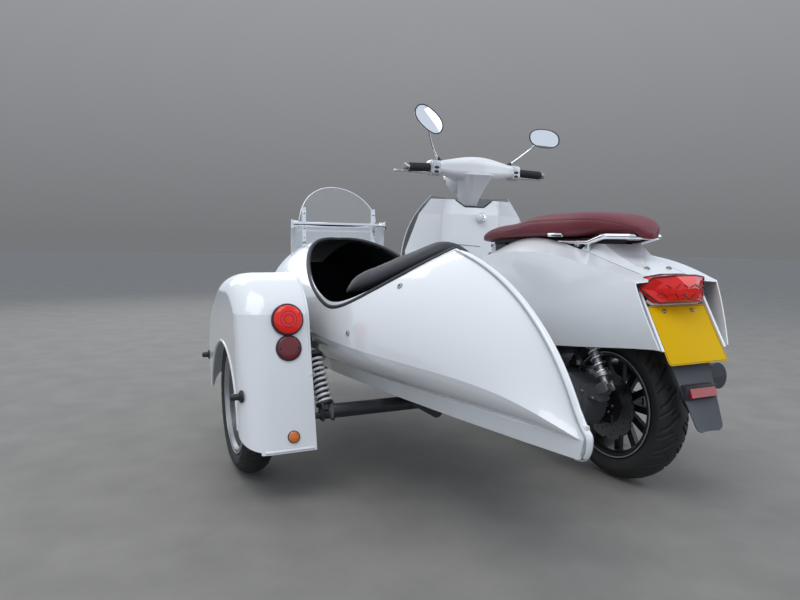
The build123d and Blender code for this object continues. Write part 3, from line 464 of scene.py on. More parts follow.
def traced(node, starts, ray):
    """Where rays from the starts meet a CAD node, without those that pass it."""
    found = [hit(node, start, ray) for start in starts]
    return [spot[0] for spot in found if spot is not None]


def seen(node, across_px, down_px):
    """The place on a CAD node that shows at a pixel of the photograph."""
    ahead, right, below = camera_axes()
    ray = ahead + right * (across_px - PHOTO_WIDTH / 2) / CAMERA_FOCAL_PIXELS
    ray = ray + below * (down_px - PHOTO_HEIGHT / 2) / CAMERA_FOCAL_PIXELS
    return on(node, CAMERA_PLACE, direction(*ray))


def camera_axes():
    """Where the photograph's camera looks, and its right and its down."""
    yaw, pitch, roll = (math.radians(a) for a in (CAMERA_YAW, CAMERA_PITCH, CAMERA_ROLL))
    ahead = np.array([-math.sin(yaw) * math.cos(pitch), -math.cos(yaw) * math.cos(pitch), -math.sin(pitch)])
    level = np.array([-math.cos(yaw), math.sin(yaw), 0.0])
    down = np.cross(ahead, level)
    right = math.cos(roll) * level + math.sin(roll) * down
    return ahead, right, -math.sin(roll) * level + math.cos(roll) * down


def swept(path, normals, sections, closed=False):
    """Rings of a section carried along a path; its columns are distance to the side and up the normal."""
    path = np.asarray(path, float)
    normals = np.asarray(normals, float)
    if closed:
        tangents = np.roll(path, -1, axis=0) - np.roll(path, 1, axis=0)
    else:
        tangents = np.gradient(path, axis=0)
    sections = np.broadcast_to(np.asarray(sections, float), (len(path),) + np.shape(sections)[-2:])
    rings = []
    for point, tangent, normal, section in zip(path, tangents, normals, sections):
        side = np.cross(tangent, normal)
        side /= np.linalg.norm(side)
        up = np.cross(side, tangent)
        up /= np.linalg.norm(up)
        rings.append(point + section[:, :1] * side + section[:, 1:] * up)
    return np.array(rings)


def bolt(shape, place, normal, radius, height, finish=0, socket=None):
    """A domed round head on a surface; its socket, when given, is a small disc of another finish just proud
    of the head, painted shade for the recess.
    """
    profile = [(-0.002, radius), (0.5 * height, radius), (0.85 * height, 0.8 * radius),
               (height, 0.45 * radius)]
    shape.turned(profile, place, normal, 20, finish)
    if socket is not None:
        shape.turned([(0, 0.42 * radius), (height + 0.0004, 0.42 * radius)], place, normal, 6, socket)


def box_ball(centre, size, power=5.0, steps=14):
    """A cube's six faces of points swollen into a rounded box."""
    grids = []
    line = np.linspace(-1, 1, steps)
    u, v = np.meshgrid(line, line, indexing="ij")
    one = np.ones_like(u)
    for axis in range(3):
        for sign in (-1, 1):
            parts = [None, None, None]
            parts[axis] = sign * one
            parts[(axis + 1) % 3] = u * sign
            parts[(axis + 2) % 3] = v
            cube = np.stack(parts, axis=-1)
            ball = cube / (np.sum(np.abs(cube) ** power, axis=-1, keepdims=True) ** (1 / power))
            grids.append(ball)
    return [np.asarray(centre) + g * np.asarray(size) / 2 for g in grids]


class SidecarColours(bpy.types.PropertyGroup):
    """Colours that a user would change."""
    paint: bpy.props.FloatVectorProperty(
        name="Body paint", description="Gloss enamel of the scooter and sidecar", subtype="COLOR",
        size=3, min=0, max=1, default=(0.8, 0.82, 0.84))
    seat: bpy.props.FloatVectorProperty(
        name="Seat", description="Leather of the rider's seat", subtype="COLOR",
        size=3, min=0, max=1, default=(0.15, 0.022, 0.032))
    plate: bpy.props.FloatVectorProperty(
        name="Rear plate", description="Blank reflective plate", subtype="COLOR",
        size=3, min=0, max=1, default=(0.72, 0.43, 0.0))
    lens: bpy.props.FloatVectorProperty(
        name="Tail lamps", description="Red lenses", subtype="COLOR",
        size=3, min=0, max=1, default=(0.68, 0.01, 0.006))


class SidecarSizes(bpy.types.PropertyGroup):
    """Sizes of the trim that a user would change."""
    tread_depth: bpy.props.FloatProperty(
        name="Tread depth", description="Depth of the tyres' grooves", unit="LENGTH",
        min=0.0, max=0.01, default=0.006)
    piping: bpy.props.FloatProperty(
        name="Stern piping", description="Radius of the bead along the sidecar's stern", unit="LENGTH",
        min=0.001, max=0.02, default=0.0055)
    wire: bpy.props.FloatProperty(
        name="Spring wire", description="Radius of the sidecar damper's spring wire", unit="LENGTH",
        min=0.001, max=0.01, default=0.0042)


M = {}


def colours():
    """The colours as the scene holds them."""
    return bpy.context.scene.sidecar_colours


def sizes():
    """The trim's sizes as the scene holds them."""
    return bpy.context.scene.sidecar_sizes


def make_finishes():
    """Make every material once."""
    tint = colours()
    M["paint"] = finish("gloss white enamel", tint.paint, 0.26, coat=1.0, grain=0.003, relief=0.00002,
                        shade=0.006, rough_spread=0.015)
    M["panel"] = finish("gloss white moulding", tint.paint, 0.3, coat=0.8, relief=0.00003, shade=0.008,
                        rough_spread=0.02)
    M["black"] = finish("black moulding", (0.022, 0.023, 0.026), 0.55, grain=0.0012, relief=0.0002,
                        shade=0.15)
    M["flap"] = finish("grey moulding", (0.06, 0.064, 0.08), 0.6, grain=0.001, relief=0.0001, shade=0.1)
    M["frame"] = finish("black chassis paint", (0.012, 0.013, 0.018), 0.38, coat=0.3, relief=0.0001,
                        shade=0.2)
    M["rubber"] = finish("rubber", (0.02, 0.02, 0.021), 0.72, grain=0.001, relief=0.0001, shade=0.2)
    M["tyre"] = finish("tyre rubber", (0.02, 0.0195, 0.019), 0.62, grain=0.0016, relief=0.0003, shade=0.3)
    M["rim"] = finish("satin black wheel", (0.02, 0.02, 0.022), 0.42, metallic=0.3, coat=0.2, shade=0.2)
    M["alloy"] = finish("cast alloy", (0.42, 0.42, 0.43), 0.38, metallic=1.0, grain=0.002, relief=0.0001,
                        shade=0.15)
    M["silver"] = finish("silver lacquer", (0.56, 0.57, 0.59), 0.34, metallic=0.6, coat=0.5, shade=0.05)
    M["steel"] = finish("ground steel", (0.34, 0.34, 0.34), 0.3, metallic=1.0, grain=0.0008, relief=0.0001,
                        shade=0.2)
    M["chrome"] = finish("chrome", (0.82, 0.83, 0.85), 0.07, metallic=1.0, rough_spread=0.03, shade=0.02)
    M["engine"] = finish("dark castings", (0.165, 0.17, 0.182), 0.46, metallic=0.5, grain=0.002,
                         relief=0.0004, shade=0.3)
    M["seat"] = finish("maroon leather", tint.seat, 0.5, grain=0.0022, relief=0.0005, shade=0.14,
                       pattern="CELLS", ior=1.38)
    M["roll"] = finish("charcoal leather", (0.018, 0.02, 0.026), 0.55, grain=0.0025, relief=0.0006,
                       shade=0.2, pattern="CELLS")
    M["lining"] = finish("black carpet", (0.004, 0.0045, 0.008), 0.95, grain=0.002, relief=0.001, shade=0.4)
    M["edging"] = finish("rubber edging", (0.022, 0.023, 0.027), 0.6, grain=0.001, relief=0.0001, shade=0.1)
    M["lens"] = finish("red lens", tint.lens, 0.16, coat=0.5, relief=0.0002, shade=0.12, ior=1.35, glow=0.16)
    # Deep red: the reflector's own colour; on the lamps' prisms and rings it is painted shade, darker than
    # the lens
    M["dark lens"] = finish("deep red reflector and facet shade", (0.15, 0.004, 0.01), 0.22, coat=0.4, grain=0.003,
                            relief=0.0004, shade=0.25, pattern="CELLS")
    # Painted light: the reflector glows faintly, standing in for the light that it throws back
    M["reflector"] = finish("red reflector", (0.34, 0.008, 0.014), 0.25, coat=0.3, grain=0.003,
                            relief=0.0003, shade=0.2, pattern="CELLS", glow=0.05)
    M["amber"] = finish("amber lens", (0.72, 0.16, 0.012), 0.2, coat=1.0, grain=0.003, relief=0.0003,
                        shade=0.15)
    M["plate"] = finish("yellow plate", tint.plate, 0.55, grain=0.0012, relief=0.00003, shade=0.02, ior=1.16)
    M["clear"] = finish("clear acrylic", (0.9, 0.93, 0.95), 0.04, alpha=0.08, shade=0.01, rough_spread=0.02)
    M["apron"] = finish("frosted acrylic", (0.72, 0.76, 0.8), 0.16, alpha=0.36, shade=0.06, coat=0.6)
    M["glass"] = finish("lamp glass", (0.8, 0.84, 0.88), 0.05, coat=1.0, metallic=0.2, shade=0.05)
    M["mirror"] = finish("mirror glass", (0.9, 0.92, 0.95), 0.02, metallic=1.0, rough_spread=0.01,
                         shade=0.01)
    M["spring"] = finish("white spring", (0.7, 0.71, 0.72), 0.3, coat=0.5, shade=0.05)
    # Painted shade: a dark finish laid as thin bars and discs where only shade falls, in seams, panel gaps,
    # bolt sockets, the brake discs' holes and the lock's slot
    M["gap"] = finish("seam shadow", (0.035, 0.037, 0.042), 0.8, shade=0.1)
    # Painted highlight: an opaque pale finish for bright lines on the clear screen and its apron
    M["edge"] = finish("acrylic edge painted highlight", (0.86, 0.9, 0.94), 0.12, coat=1.0, shade=0.02)
    M["grey line"] = finish("grey sealant", (0.36, 0.37, 0.38), 0.6, shade=0.1)


# Carried-over parts that no piece of this file stands for
NODES_BY_FINISH = {
    "paint": ("sidecar_hull", "sidecar_floor_pan", "sidecar_mudguard", "front_mudguard"),
    "panel": ("leg_shield", "inner_panel", "seat_tower", "side_panel_left", "side_panel_right", "tail_deck",
              "headset", "horn_casing"),
    "black": ("floorboard", "underseat_bucket", "seat_base"),
    "frame": ("sidecar_frame", "sidecar_swing_arm", "scooter_frame", "silencer", "handlebar"),
    "chrome": ("screen_bar", "grab_rail", "front_dampers"),
    "silver": ("fork", "hand_controls"),
    "rim": ("rear_rim", "front_rim"),
    "alloy": ("sidecar_rim",),
    "engine": ("engine_unit",),
    "rubber": ("grips",),
    "clear": ("windscreen",),
    "apron": ("screen_apron",),
    "glass": ("headlamp",),
    "amber": ("front_indicators",),
    "reflector": ("rear_reflector",),
}


def finish_nodes():
    """Give each carried-over part its finish."""
    for name, nodes in NODES_BY_FINISH.items():
        for node in nodes:
            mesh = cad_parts[node].data
            mesh.materials.clear()
            mesh.materials.append(M[name])


def make_stage():
    """The photograph's camera, a plain floor, the sky light with its backdrop, and three soft lamps."""
    scene = bpy.context.scene
    ahead, right, below = camera_axes()
    lens = bpy.data.cameras.new("camera")
    lens.sensor_width = SENSOR_WIDTH
    lens.lens = CAMERA_FOCAL_PIXELS / PHOTO_WIDTH * SENSOR_WIDTH
    camera = bpy.data.objects.new("camera", lens)
    turn = Matrix([right, -below, -ahead]).transposed().to_4x4()
    camera.matrix_world = Matrix.Translation(Vector(np.array(CAMERA_PLACE) + AXLE)) @ turn
    scene.collection.objects.link(camera)
    scene.camera = camera
    scene.view_settings.view_transform = "Standard"

    floor = Shape()
    reach = 30.0
    floor.sheet([[(-reach, -reach, 0), (reach, -reach, 0)], [(-reach, reach, 0), (reach, reach, 0)]])
    mesh = bpy.data.meshes.new("floor")
    mesh.from_pydata(floor.points, [], floor.faces)
    ground = finish("studio floor", (0.215, 0.205, 0.19), 0.9, shade=0.1, grain=0.03, relief=0.002)
    mesh.materials.append(ground)
    made = bpy.data.objects.new("floor", mesh)
    scene.collection.objects.link(made)

    world = bpy.data.worlds.new("studio")
    scene.world = world
    world.use_nodes = True
    nodes, links = world.node_tree.nodes, world.node_tree.links
    light = nodes["Background"]
    light.inputs["Color"].default_value = (0.8, 0.88, 1.0, 1)
    light.inputs["Strength"].default_value = 0.8
    backdrop = nodes.new("ShaderNodeBackground")
    place = nodes.new("ShaderNodeTexCoord")
    height = nodes.new("ShaderNodeSeparateXYZ")
    sky = nodes.new("ShaderNodeValToRGB")
    sky.color_ramp.elements[0].position = 0.0
    sky.color_ramp.elements[0].color = (0.178, 0.184, 0.192, 1)
    sky.color_ramp.elements[1].position = 0.45
    sky.color_ramp.elements[1].color = (0.36, 0.37, 0.39, 1)
    links.new(place.outputs["Generated"], height.inputs["Vector"])
    links.new(height.outputs["Z"], sky.inputs["Fac"])
    links.new(sky.outputs["Color"], backdrop.inputs["Color"])
    mix = nodes.new("ShaderNodeMixShader")
    path = nodes.new("ShaderNodeLightPath")
    links.new(path.outputs["Is Camera Ray"], mix.inputs["Fac"])
    links.new(light.outputs["Background"], mix.inputs[1])
    links.new(backdrop.outputs["Background"], mix.inputs[2])
    links.new(mix.outputs["Shader"], nodes["World Output"].inputs["Surface"])
    lamp("key light", (2.2, 1.2, 5.0), 3.6, 105, (1.0, 0.98, 0.95))
    lamp("fill light", (-4.0, 1.5, 3.0), 4.0, 60, (0.9, 0.95, 1.0))
    lamp("front light", (1.0, -5.0, 3.6), 4.0, 90, (1.0, 1.0, 1.0))


def lamp(name, place, size, power, colour):
    """A square soft light that faces the middle of the vehicle."""
    light = bpy.data.lights.new(name, "AREA")
    light.size = size
    light.energy = power
    light.color = colour
    made = bpy.data.objects.new(name, light)
    made.location = Vector(np.array(place) + AXLE)
    aim = Vector(np.array([0.4, -0.5, 0.4]) + AXLE) - made.location
    made.rotation_euler = aim.to_track_quat("-Z", "Y").to_euler()
    bpy.context.scene.collection.objects.link(made)


def make_tyre(name, radius, width, rim_half, x, y, body, pitch):
    """A tyre as rings round its axle, with the grooves cut into its tread."""
    depth = sizes().tread_depth
    half, tread_half = width / 2, 0.4 * width
    bead, shoulder = RIM_FLANGE + 0.002, radius - TREAD_DROP
    side = arc((rim_half, bead), (half, (bead + shoulder) / 2), (tread_half, shoulder), 15)[:-1]
    ridges = sum(np.exp(-((np.arange(len(side)) - place) / 0.7) ** 2) for place in (3.0, 9.0))
    side[:, 0] -= SIDEWALL_RELIEF * (1 - ridges)
    crown = arc((tread_half, shoulder), (0, radius), (-tread_half, shoulder), 49)
    profile = np.concatenate([[(rim_half, BEAD_SEAT)], side, crown, side[::-1] * (-1, 1),
                              [(-rim_half, BEAD_SEAT)]])
    run = reach_along(profile)
    run -= run[len(run) // 2]
    repeats = round(math.tau * radius / pitch)
    pitch = math.tau * radius / repeats
    around = np.linspace(0, math.tau, repeats * STEPS_PER_PITCH, endpoint=False)
    along = (around * radius)[:, None]
    cut = np.zeros((len(around), len(profile)))
    for phases, first, last, lean, half_cut in TREAD_CUTS:
        for way, phase in zip((1, -1), phases):
            out = np.clip(run * way, 0, None)
            centre = phase * pitch + lean * pitch * (out / 0.06) ** 0.75
            gap = np.abs((along - centre + pitch / 2) % pitch - pitch / 2)
            mask = np.clip((half_cut - gap * 0.72) / 0.0011, 0, 1)
            mask = mask * np.clip((out - first) / 0.002, 0, 1) * np.clip((last - out) / 0.004, 0, 1)
            cut = np.maximum(cut, mask)
    tread = (profile[:, 1] > shoulder - 0.022).astype(float)
    reach = profile[:, 1] - depth * cut * tread
    grid = np.stack([np.broadcast_to(x + profile[:, 0], reach.shape), y + reach * np.sin(around)[:, None],
                     radius + reach * np.cos(around)[:, None]], axis=-1)
    piece(name + "_tyre_tread", Shape().sheet(grid, loop=True), "tyre", [name + "_tyre"], body,
          crease=42)


def petals(shape, x, y, z, outer, inner, thick, lobes):
    """A disc with rounded notches round its rim."""
    angles = np.linspace(0, math.tau, lobes * 24, endpoint=False)
    notch, cut = outer + 0.006, 0.0135
    apart = (angles + math.pi / lobes) % (math.tau / lobes) - math.pi / lobes
    inside = cut ** 2 - (notch * np.sin(apart)) ** 2
    rim = np.where(inside > 0, notch * np.cos(apart) - np.sqrt(np.clip(inside, 0, None)), outer)
    rim = np.minimum(rim, outer)[:, None]
    spokes = np.stack([np.zeros_like(angles), np.sin(angles), np.cos(angles)], axis=1)
    rings = [np.array([x + step, y, z]) + spokes * reach
             for step, reach in ((-thick, inner), (-thick, rim), (thick, rim), (thick, inner))]
    shape.sheet(rings, around=True, loop=True)


def about_axle(x, y, z, reach, angle):
    """A place at a reach and an angle from an axle that runs across the vehicle."""
    return np.array([x, y + reach * math.sin(angle), z + reach * math.cos(angle)])


def dress_wheels():
    """Tyres, rim edges with their bolts, and the scooter's two brake discs."""
    for name, radius, width, rim_half, x, y, body, pitch in TYRES:
        make_tyre(name, radius, width, rim_half, x, y, body, pitch)
        shape = Shape()
        face = 0.036 if name == "sidecar" else rim_half + 0.013
        for side in (-1, 1):
            near = side * (rim_half + 0.0035)
            far = near + side * 0.003
            lip = [(near, 0.1668), (far, 0.1664), (far, 0.164), (near, 0.1636)]
            shape.sheet(lathe(lip, (x, y, radius), (1, 0, 0), 96), around=True, loop=True)
            for turn in range(WHEEL_BOLTS):
                place = about_axle(x, y, radius, 0.023, turn * math.tau / WHEEL_BOLTS + 0.3)
                bolt(shape, place + (side * face, 0, 0), (side, 0, 0), 0.0055, 0.005, finish=1)
        piece(name + "_rim_edge", shape, ["silver", "steel"], body=body)
    for (name, z, _, _, _, y, body, _), x in zip(TYRES, (0.054, 0.048)):
        shape = Shape()
        petals(shape, x, y, z, 0.1103, 0.06, 0.0024, 10)
        # Painted shade: the holes are short dark rods through the disc, not cut holes
        for turn in range(DISC_HOLES):
            hole = about_axle(x, y, z, (0.07, 0.082, 0.094)[turn % 3], turn * math.tau / DISC_HOLES)
            shape.rod(hole - (0.0028, 0, 0), hole + (0.0028, 0, 0), 0.0036, 1, 10)
        for turn in range(WHEEL_BOLTS):
            angle = turn * math.tau / WHEEL_BOLTS
            foot, tip = about_axle(x, y, z, 0.036, angle), about_axle(x, y, z, 0.066, angle + 0.25)
            shape.bar([foot, (foot + tip) / 2, tip], 0.006, 2, 8)
        piece(name + "_brake_disc", shape, ["steel", "gap", "rim"], body=body)


def cockpit(inset, rear_inset, angles):
    """The cockpit's egg outline, smaller by the insets, at angles from its left edge towards the stern."""
    length = np.where(np.sin(angles) > 0, COCKPIT_REAR - rear_inset, COCKPIT_FRONT - inset)
    return np.stack([HULL_X + (COCKPIT_HALF - inset) * np.cos(angles), COCKPIT_Y + length * np.sin(angles)],
                    axis=1)


def lay(node, points):
    """Points of a plan dropped on a CAD node, and how it faces there."""
    found = [on(node, (x, y, ABOVE), DOWN) for x, y in points]
    return np.array([place for place, _ in found]), np.array([normal for _, normal in found])


def dress_hull():
    """The cockpit's edging and lining, the stern's piping and the hull's screws."""
    angles = np.linspace(0, math.tau, 240, endpoint=False)
    edge, faces = lay("sidecar_hull", cockpit(-0.006, -0.006, angles))
    edge[:, :2] = cockpit(0.0, 0.0, angles)
    shape = Shape()
    shape.sheet(swept(edge, faces, oval(0.0075, 0.0065, 18, 2.5) + (0.0005, 0.001), True), 0,
                around=True, loop=True)
    shape.sheet(swept(edge, faces, oval(0.003, 0.003, 18) + (0.0098, 0.001), True), 1,
                around=True, loop=True)
    piece("cockpit_rubber_edging", shape, ["edging", "paint"], ["cockpit_edging"])

    tub = []
    for y in np.linspace(-1.262, 0.004, 70):
        for way in (1, -1):
            row = []
            for lean in np.radians(np.linspace(-90, 78, 34)):
                ray = (way * math.cos(lean), 0, math.sin(lean))
                found = hit("sidecar_hull", (HULL_X, y, LINING_Z), ray)
                row.append(row[-1] if found is None else found[0] - 0.003 * np.array(ray))
            tub.append(row)
    tub = np.array(tub)
    shape = Shape().sheet(tub[0::2]).sheet(tub[1::2]).sheet(tub[:2]).sheet(tub[-2:])
    piece("cockpit_lining", shape, "lining", thickness=0.0015)

    ridge = traced("sidecar_hull", [(HULL_X + 0.0002, y, 1.2) for y in np.linspace(0.03, 0.515, 60)], DOWN)
    end = rounded([ridge[-1], (HULL_X, 0.54, 0.376), (HULL_X, 0.556, 0.364), (HULL_X, 0.555, 0.336),
                   (HULL_X, 0.545, 0.315), (HULL_X, 0.528, 0.312)], 0.01, 5)
    line = even(np.concatenate([ridge, end[1:]]), 130)
    back = np.gradient(line, axis=0)
    faces = np.stack([np.zeros(len(line)), -back[:, 2], back[:, 1]], axis=1)
    faces *= np.where(faces[:, 2:3] + faces[:, 1:2] < 0, -1, 1)
    grow = np.clip(np.arange(len(line)) / 8.0, 0.25, 1)[:, None, None]
    strip = oval(0.0085, sizes().piping, 16) * grow
    shape = Shape().sheet(swept(line + (0, 0, 0.0005), faces, strip), 0, around=True, caps=True)
    for side in (-1, 1):
        mark = oval(0.0016, 0.0016, 16) + (side * 0.0094, -0.0006)
        shape.sheet(swept(line, faces, mark), 1, around=True, caps=True)
    piece("stern_piping", shape, ["paint", "grey line"])

    shape = Shape()
    for pixel in ((348, 333), (400, 286), (311, 332)):
        place, normal = seen("sidecar_hull", *pixel)
        bolt(shape, place, normal, 0.0085, 0.004, socket=1)
        bolt(shape, place * MIRRORED + (2 * HULL_X, 0, 0), normal * MIRRORED, 0.0085, 0.004,
             socket=1)
    piece("hull_screws", shape, ["grey line", "gap"])


def calm(rows, reach=6):
    """Rows of numbers averaged with their neighbours."""
    spread = np.pad(rows, ((reach, reach), (0, 0)), mode="edge")
    return sum(spread[i:i + len(rows)] for i in range(2 * reach + 1)) / (2 * reach + 1)


def make_roll():
    """The padded roll round the rear half of the cockpit."""
    start, stop, count = 0.34, math.pi - 0.34, 110
    at = np.linspace(start, stop, count)
    outer = cockpit(0.01, 0.01, at)
    wide = np.sin((at - start) / (stop - start) * math.pi)
    inner = cockpit(0.058, 0.08, np.linspace(0.42, math.pi - 0.42, count))
    inner = outer + (inner - outer) * np.clip(0.42 + 0.75 * wide ** 0.8, 0, 1)[:, None]
    spot, faces = (calm(rows) for rows in lay("sidecar_hull", cockpit(-0.008, -0.008, at)))

    def level(plan):
        """The height of a plan on the hull's flattened faces."""
        return spot[:, 2] - ((plan - spot[:, :2]) * faces[:, :2]).sum(axis=1) / faces[:, 2]

    high = np.stack([*outer.T, level(outer) + 0.001], axis=1)
    low = np.stack([*inner.T, level(outer) + 0.75 * (level(inner) - level(outer)) - 0.002], axis=1)
    turn = np.linspace(0, math.tau, 40, endpoint=False)
    flat = swell(np.cos(turn), 0.85)[:, None]
    rise = (swell(np.sin(turn), 0.9) * np.where(np.sin(turn) > 0, 1.0, 1.5))[:, None]
    ends = np.clip(np.minimum(np.arange(count), np.arange(count)[::-1]) / 7.0, 0.0, 1)
    ends = 0.25 + 0.75 * np.sin(ends * math.pi / 2)
    rings = []
    for i in range(count):
        middle, half = (high[i] + low[i]) / 2, (low[i] - high[i]) / 2
        up = faces[i] - half * np.dot(faces[i], half) / np.dot(half, half)
        up /= np.linalg.norm(up)
        thick = (0.013 + 0.006 * wide[i]) * ends[i]
        rings.append(middle + flat * half + rise * thick * up)
    shape = Shape().sheet(rings, around=True, caps=True)
    made = piece("cockpit_padded_roll", shape, "roll", ["cockpit_roll"],
                 crease=60)


def dress_cockpit():
    """The padded roll, and the passenger's cushion and back with their stitched channels."""
    make_roll()
    # Columns: name, centre, size, lean in degrees, channels, then the axis and way that the channels face
    for name, centre, size, tilt, channels, axis, way in (
            ("sidecar_seat_cushion", (HULL_X, -0.375, 0.426), (0.33, 0.45, 0.072), 0.0, 5, 2, 1),
            ("sidecar_seat_back", (HULL_X, -0.1, 0.545), (0.25, 0.056, 0.155), 12.0, 4, 1, -1)):
        shape = Shape()
        cos, sin = math.cos(math.radians(-tilt)), math.sin(math.radians(-tilt))
        for grid in box_ball((0, 0, 0), size, 6.0, 26):
            share = grid / (np.array(size) / 2)
            channel = np.abs(np.sin(share[..., 0] * channels * math.pi / 2)) ** 0.35
            grid[..., axis] += way * (0.006 * (channel - 1) * np.clip(way * share[..., axis], 0, 1))
            x, y, z = np.moveaxis(grid, -1, 0)
            shape.sheet(np.stack([x, y * cos - z * sin, y * sin + z * cos], axis=-1) + centre)
        made = piece(name, shape, "roll", ["sidecar_seat"], crease=60,
                     merge=0.0004)


def dress_screen():
    """The screen's rim as a pale bar of painted highlight, its clamps and screws, and two pale lines of
    painted highlight and reflection on the apron below it.
    """
    # Painted highlight: a pale opaque bar along the clear screen's rim
    angles = np.linspace(0, math.pi, 60)
    rows = np.stack([0.163 * np.cos(angles), 0.802 + 0.153 * np.sin(angles)], axis=1)
    edge = [(HULL_X + x, min(-0.93, SCREEN_CENTRE_Y - math.sqrt(SCREEN_RADIUS ** 2 - x * x) + 0.002), z)
            for x, z in rows if z > 0.814]
    piece("screen_edge_highlight_bar", Shape().bar(edge, 0.0017, 0, 10), "edge")

    shape = Shape()
    for side in (-1, 1):
        for reach, radius in zip((0.172, 0.176, 0.18, 0.184, 0.188), (0.0125, 0.0108) * 3):
            x = HULL_X + side * reach
            shape.rod((x - 0.0016, -0.908, 0.802), (x + 0.0016, -0.908, 0.802), radius)
        for z in (0.716, 0.752, 0.786, 0.846):
            bolt(shape, (HULL_X + side * 0.146, -0.9135, z), (0, 1, 0), 0.0052, 0.004, socket=1)
    piece("screen_clamp_screws", shape, ["chrome", "gap"])

    # Painted highlight and reflection: two pale lines along the apron, at its top and just below it
    shape = Shape()
    for top in (0.795, 0.795 - 0.018):
        line = []
        for x in np.linspace(-0.158, 0.158, 50):
            y = SCREEN_CENTRE_Y - math.sqrt((SCREEN_RADIUS + 0.0225) ** 2 - x * x)
            foot = on("sidecar_hull", (HULL_X + x, y, 1.0), DOWN)[0]
            line.append((HULL_X + x, y, max(top, foot[2] + 0.003)))
        shape.bar(line, 0.0022, 0, 10)
    piece("apron_highlight_lines", shape, "edge")


def make_guard_lamp(shape, seat, slope, radius, depth, glass):
    """A lamp's domed glass on the mudguard, in its rubber ring."""
    dome = [(0, radius * 0.94)]
    for t in np.linspace(0, 1, 9):
        dome.append((depth * (0.55 + 0.45 * math.sin(t * math.pi / 2)),
                     radius * 0.94 * math.cos(t * math.pi / 2 * 0.96)))
    shape.turned(dome, seat, slope, 64, glass)
    ring = [(0, radius * 0.9), (0, radius * 1.06), (depth * 0.35, radius * 1.06),
            (depth * 0.48, radius * 0.99), (depth * 0.45, radius * 0.9)]
    shape.sheet(lathe(ring, seat, slope, 64), 3, around=True, loop=True)


def dress_mudguard():
    """The mudguard's rolled lips, its rear lamps and the knobs of its side lamps."""
    arch = [(BESIDE, SIDECAR_AXLE_Y + ARCH_RADIUS * math.cos(t), ARCH_Z + ARCH_RADIUS * math.sin(t))
            for t in np.linspace(math.radians(-4), math.radians(197), 110)]
    lip = even(traced("sidecar_mudguard", arch, (-1, 0, 0)), 120)
    shape = Shape().bar(lip - (0.002, 0, 0), 0.0052)
    foot = traced("sidecar_mudguard", [(x, 0.2, 0.156) for x in np.linspace(0.962, 1.1, 30)], (0, -1, 0))
    shape.bar(np.array(foot) - (0, 0.002, 0), 0.0048, 0, 12)
    flange = []
    for angle in np.linspace(-0.1, math.pi + 0.35, 90):
        y, z = -0.5 + 0.9 * math.cos(angle), 0.35 + 0.9 * math.sin(angle)
        flange.append(on("sidecar_mudguard", (0.9585, y, z), (0, -0.5 - y, 0.4 - z))[0])
    shape.bar(even(flange, 110), 0.0038, 0, 12)
    piece("mudguard_rolled_lip", shape, "paint")

    slope = direction(0, math.cos(REAR_SLOPE), math.sin(REAR_SLOPE))
    first, second = across(slope)
    shape = Shape()
    # Columns: z, radius and depth of the tail lamp, the reflector and the amber lamp
    for glass, (z, radius, depth) in enumerate(((0.514, 0.0435, 0.022), (0.435, 0.035, 0.01),
                                                (0.192, 0.0165, 0.009))):
        seat = np.array([1.02, -0.262 + (0.53 - z) * 0.082 / 0.38, z])
        make_guard_lamp(shape, seat, slope, radius, depth, glass)
        if glass == 0:
            # Painted shade: rings and spokes of the deep red finish inside the tail lamp's glass
            for reach, level in ((0.013, 0.985), (0.023, 0.93), (0.032, 0.8)):
                turns = np.linspace(0, math.tau, 49)[:, None]
                spokes = np.cos(turns) * first + np.sin(turns) * second
                ring = seat + slope * depth * level + reach * spokes
                shape.sheet(pipe(ring, 0.0008, 6), 1, around=True)
            for turn in range(14):
                angle = turn * math.tau / 14
                way = math.cos(angle) * first + math.sin(angle) * second
                shape.bar([seat + slope * depth * 0.985 + way * 0.013,
                           seat + slope * depth * 0.8 + way * 0.032], 0.0007, 1, 6)
        if glass == 1:
            for side in (-1, 1):
                bolt(shape, seat + first * side * 0.026 + slope * depth * 0.7, slope, 0.0035, 0.003,
                     finish=3)
    piece("mudguard_rear_lamps", shape, ["lens", "dark lens", "amber", "black"],
          ["sidecar_rear_lamps"])

    shape = Shape()
    tip = 1.184
    for y, z in ((-0.25, 0.305), (-0.8, 0.33)):
        foot = on("sidecar_mudguard", (BESIDE, y, z), (-1, 0, 0))[0][0]
        profile = [(foot - 0.004, 0.0175), (foot + 0.002, 0.0175), (foot + 0.005, 0.014),
                   (foot + 0.007, 0.0095), (tip - 0.006, 0.0095), (tip - 0.002, 0.008), (tip, 0.004)]
        shape.turned(profile, (0, y, z), (1, 0, 0), 32)
    piece("marker_lamp_knobs", shape, "black", ["marker_lamps"])


def shock(shape, low, high, radius, body, wire, turns, cups, spring):
    """A damper: a body and rod, two cups and a spring between them."""
    def along(share):
        return low + share * (high - low)

    shape.rod(along(0.0), along(0.55), body, cups)
    shape.rod(along(0.5), along(1.0), body * 0.5, cups)
    for start, end in ((0.1, 0.14), (0.9, 0.94)):
        shape.rod(along(start), along(end), radius * 1.05, cups, 28)
    shape.coil(along(0.14), along(0.9), radius - wire, wire, turns, spring, 10)


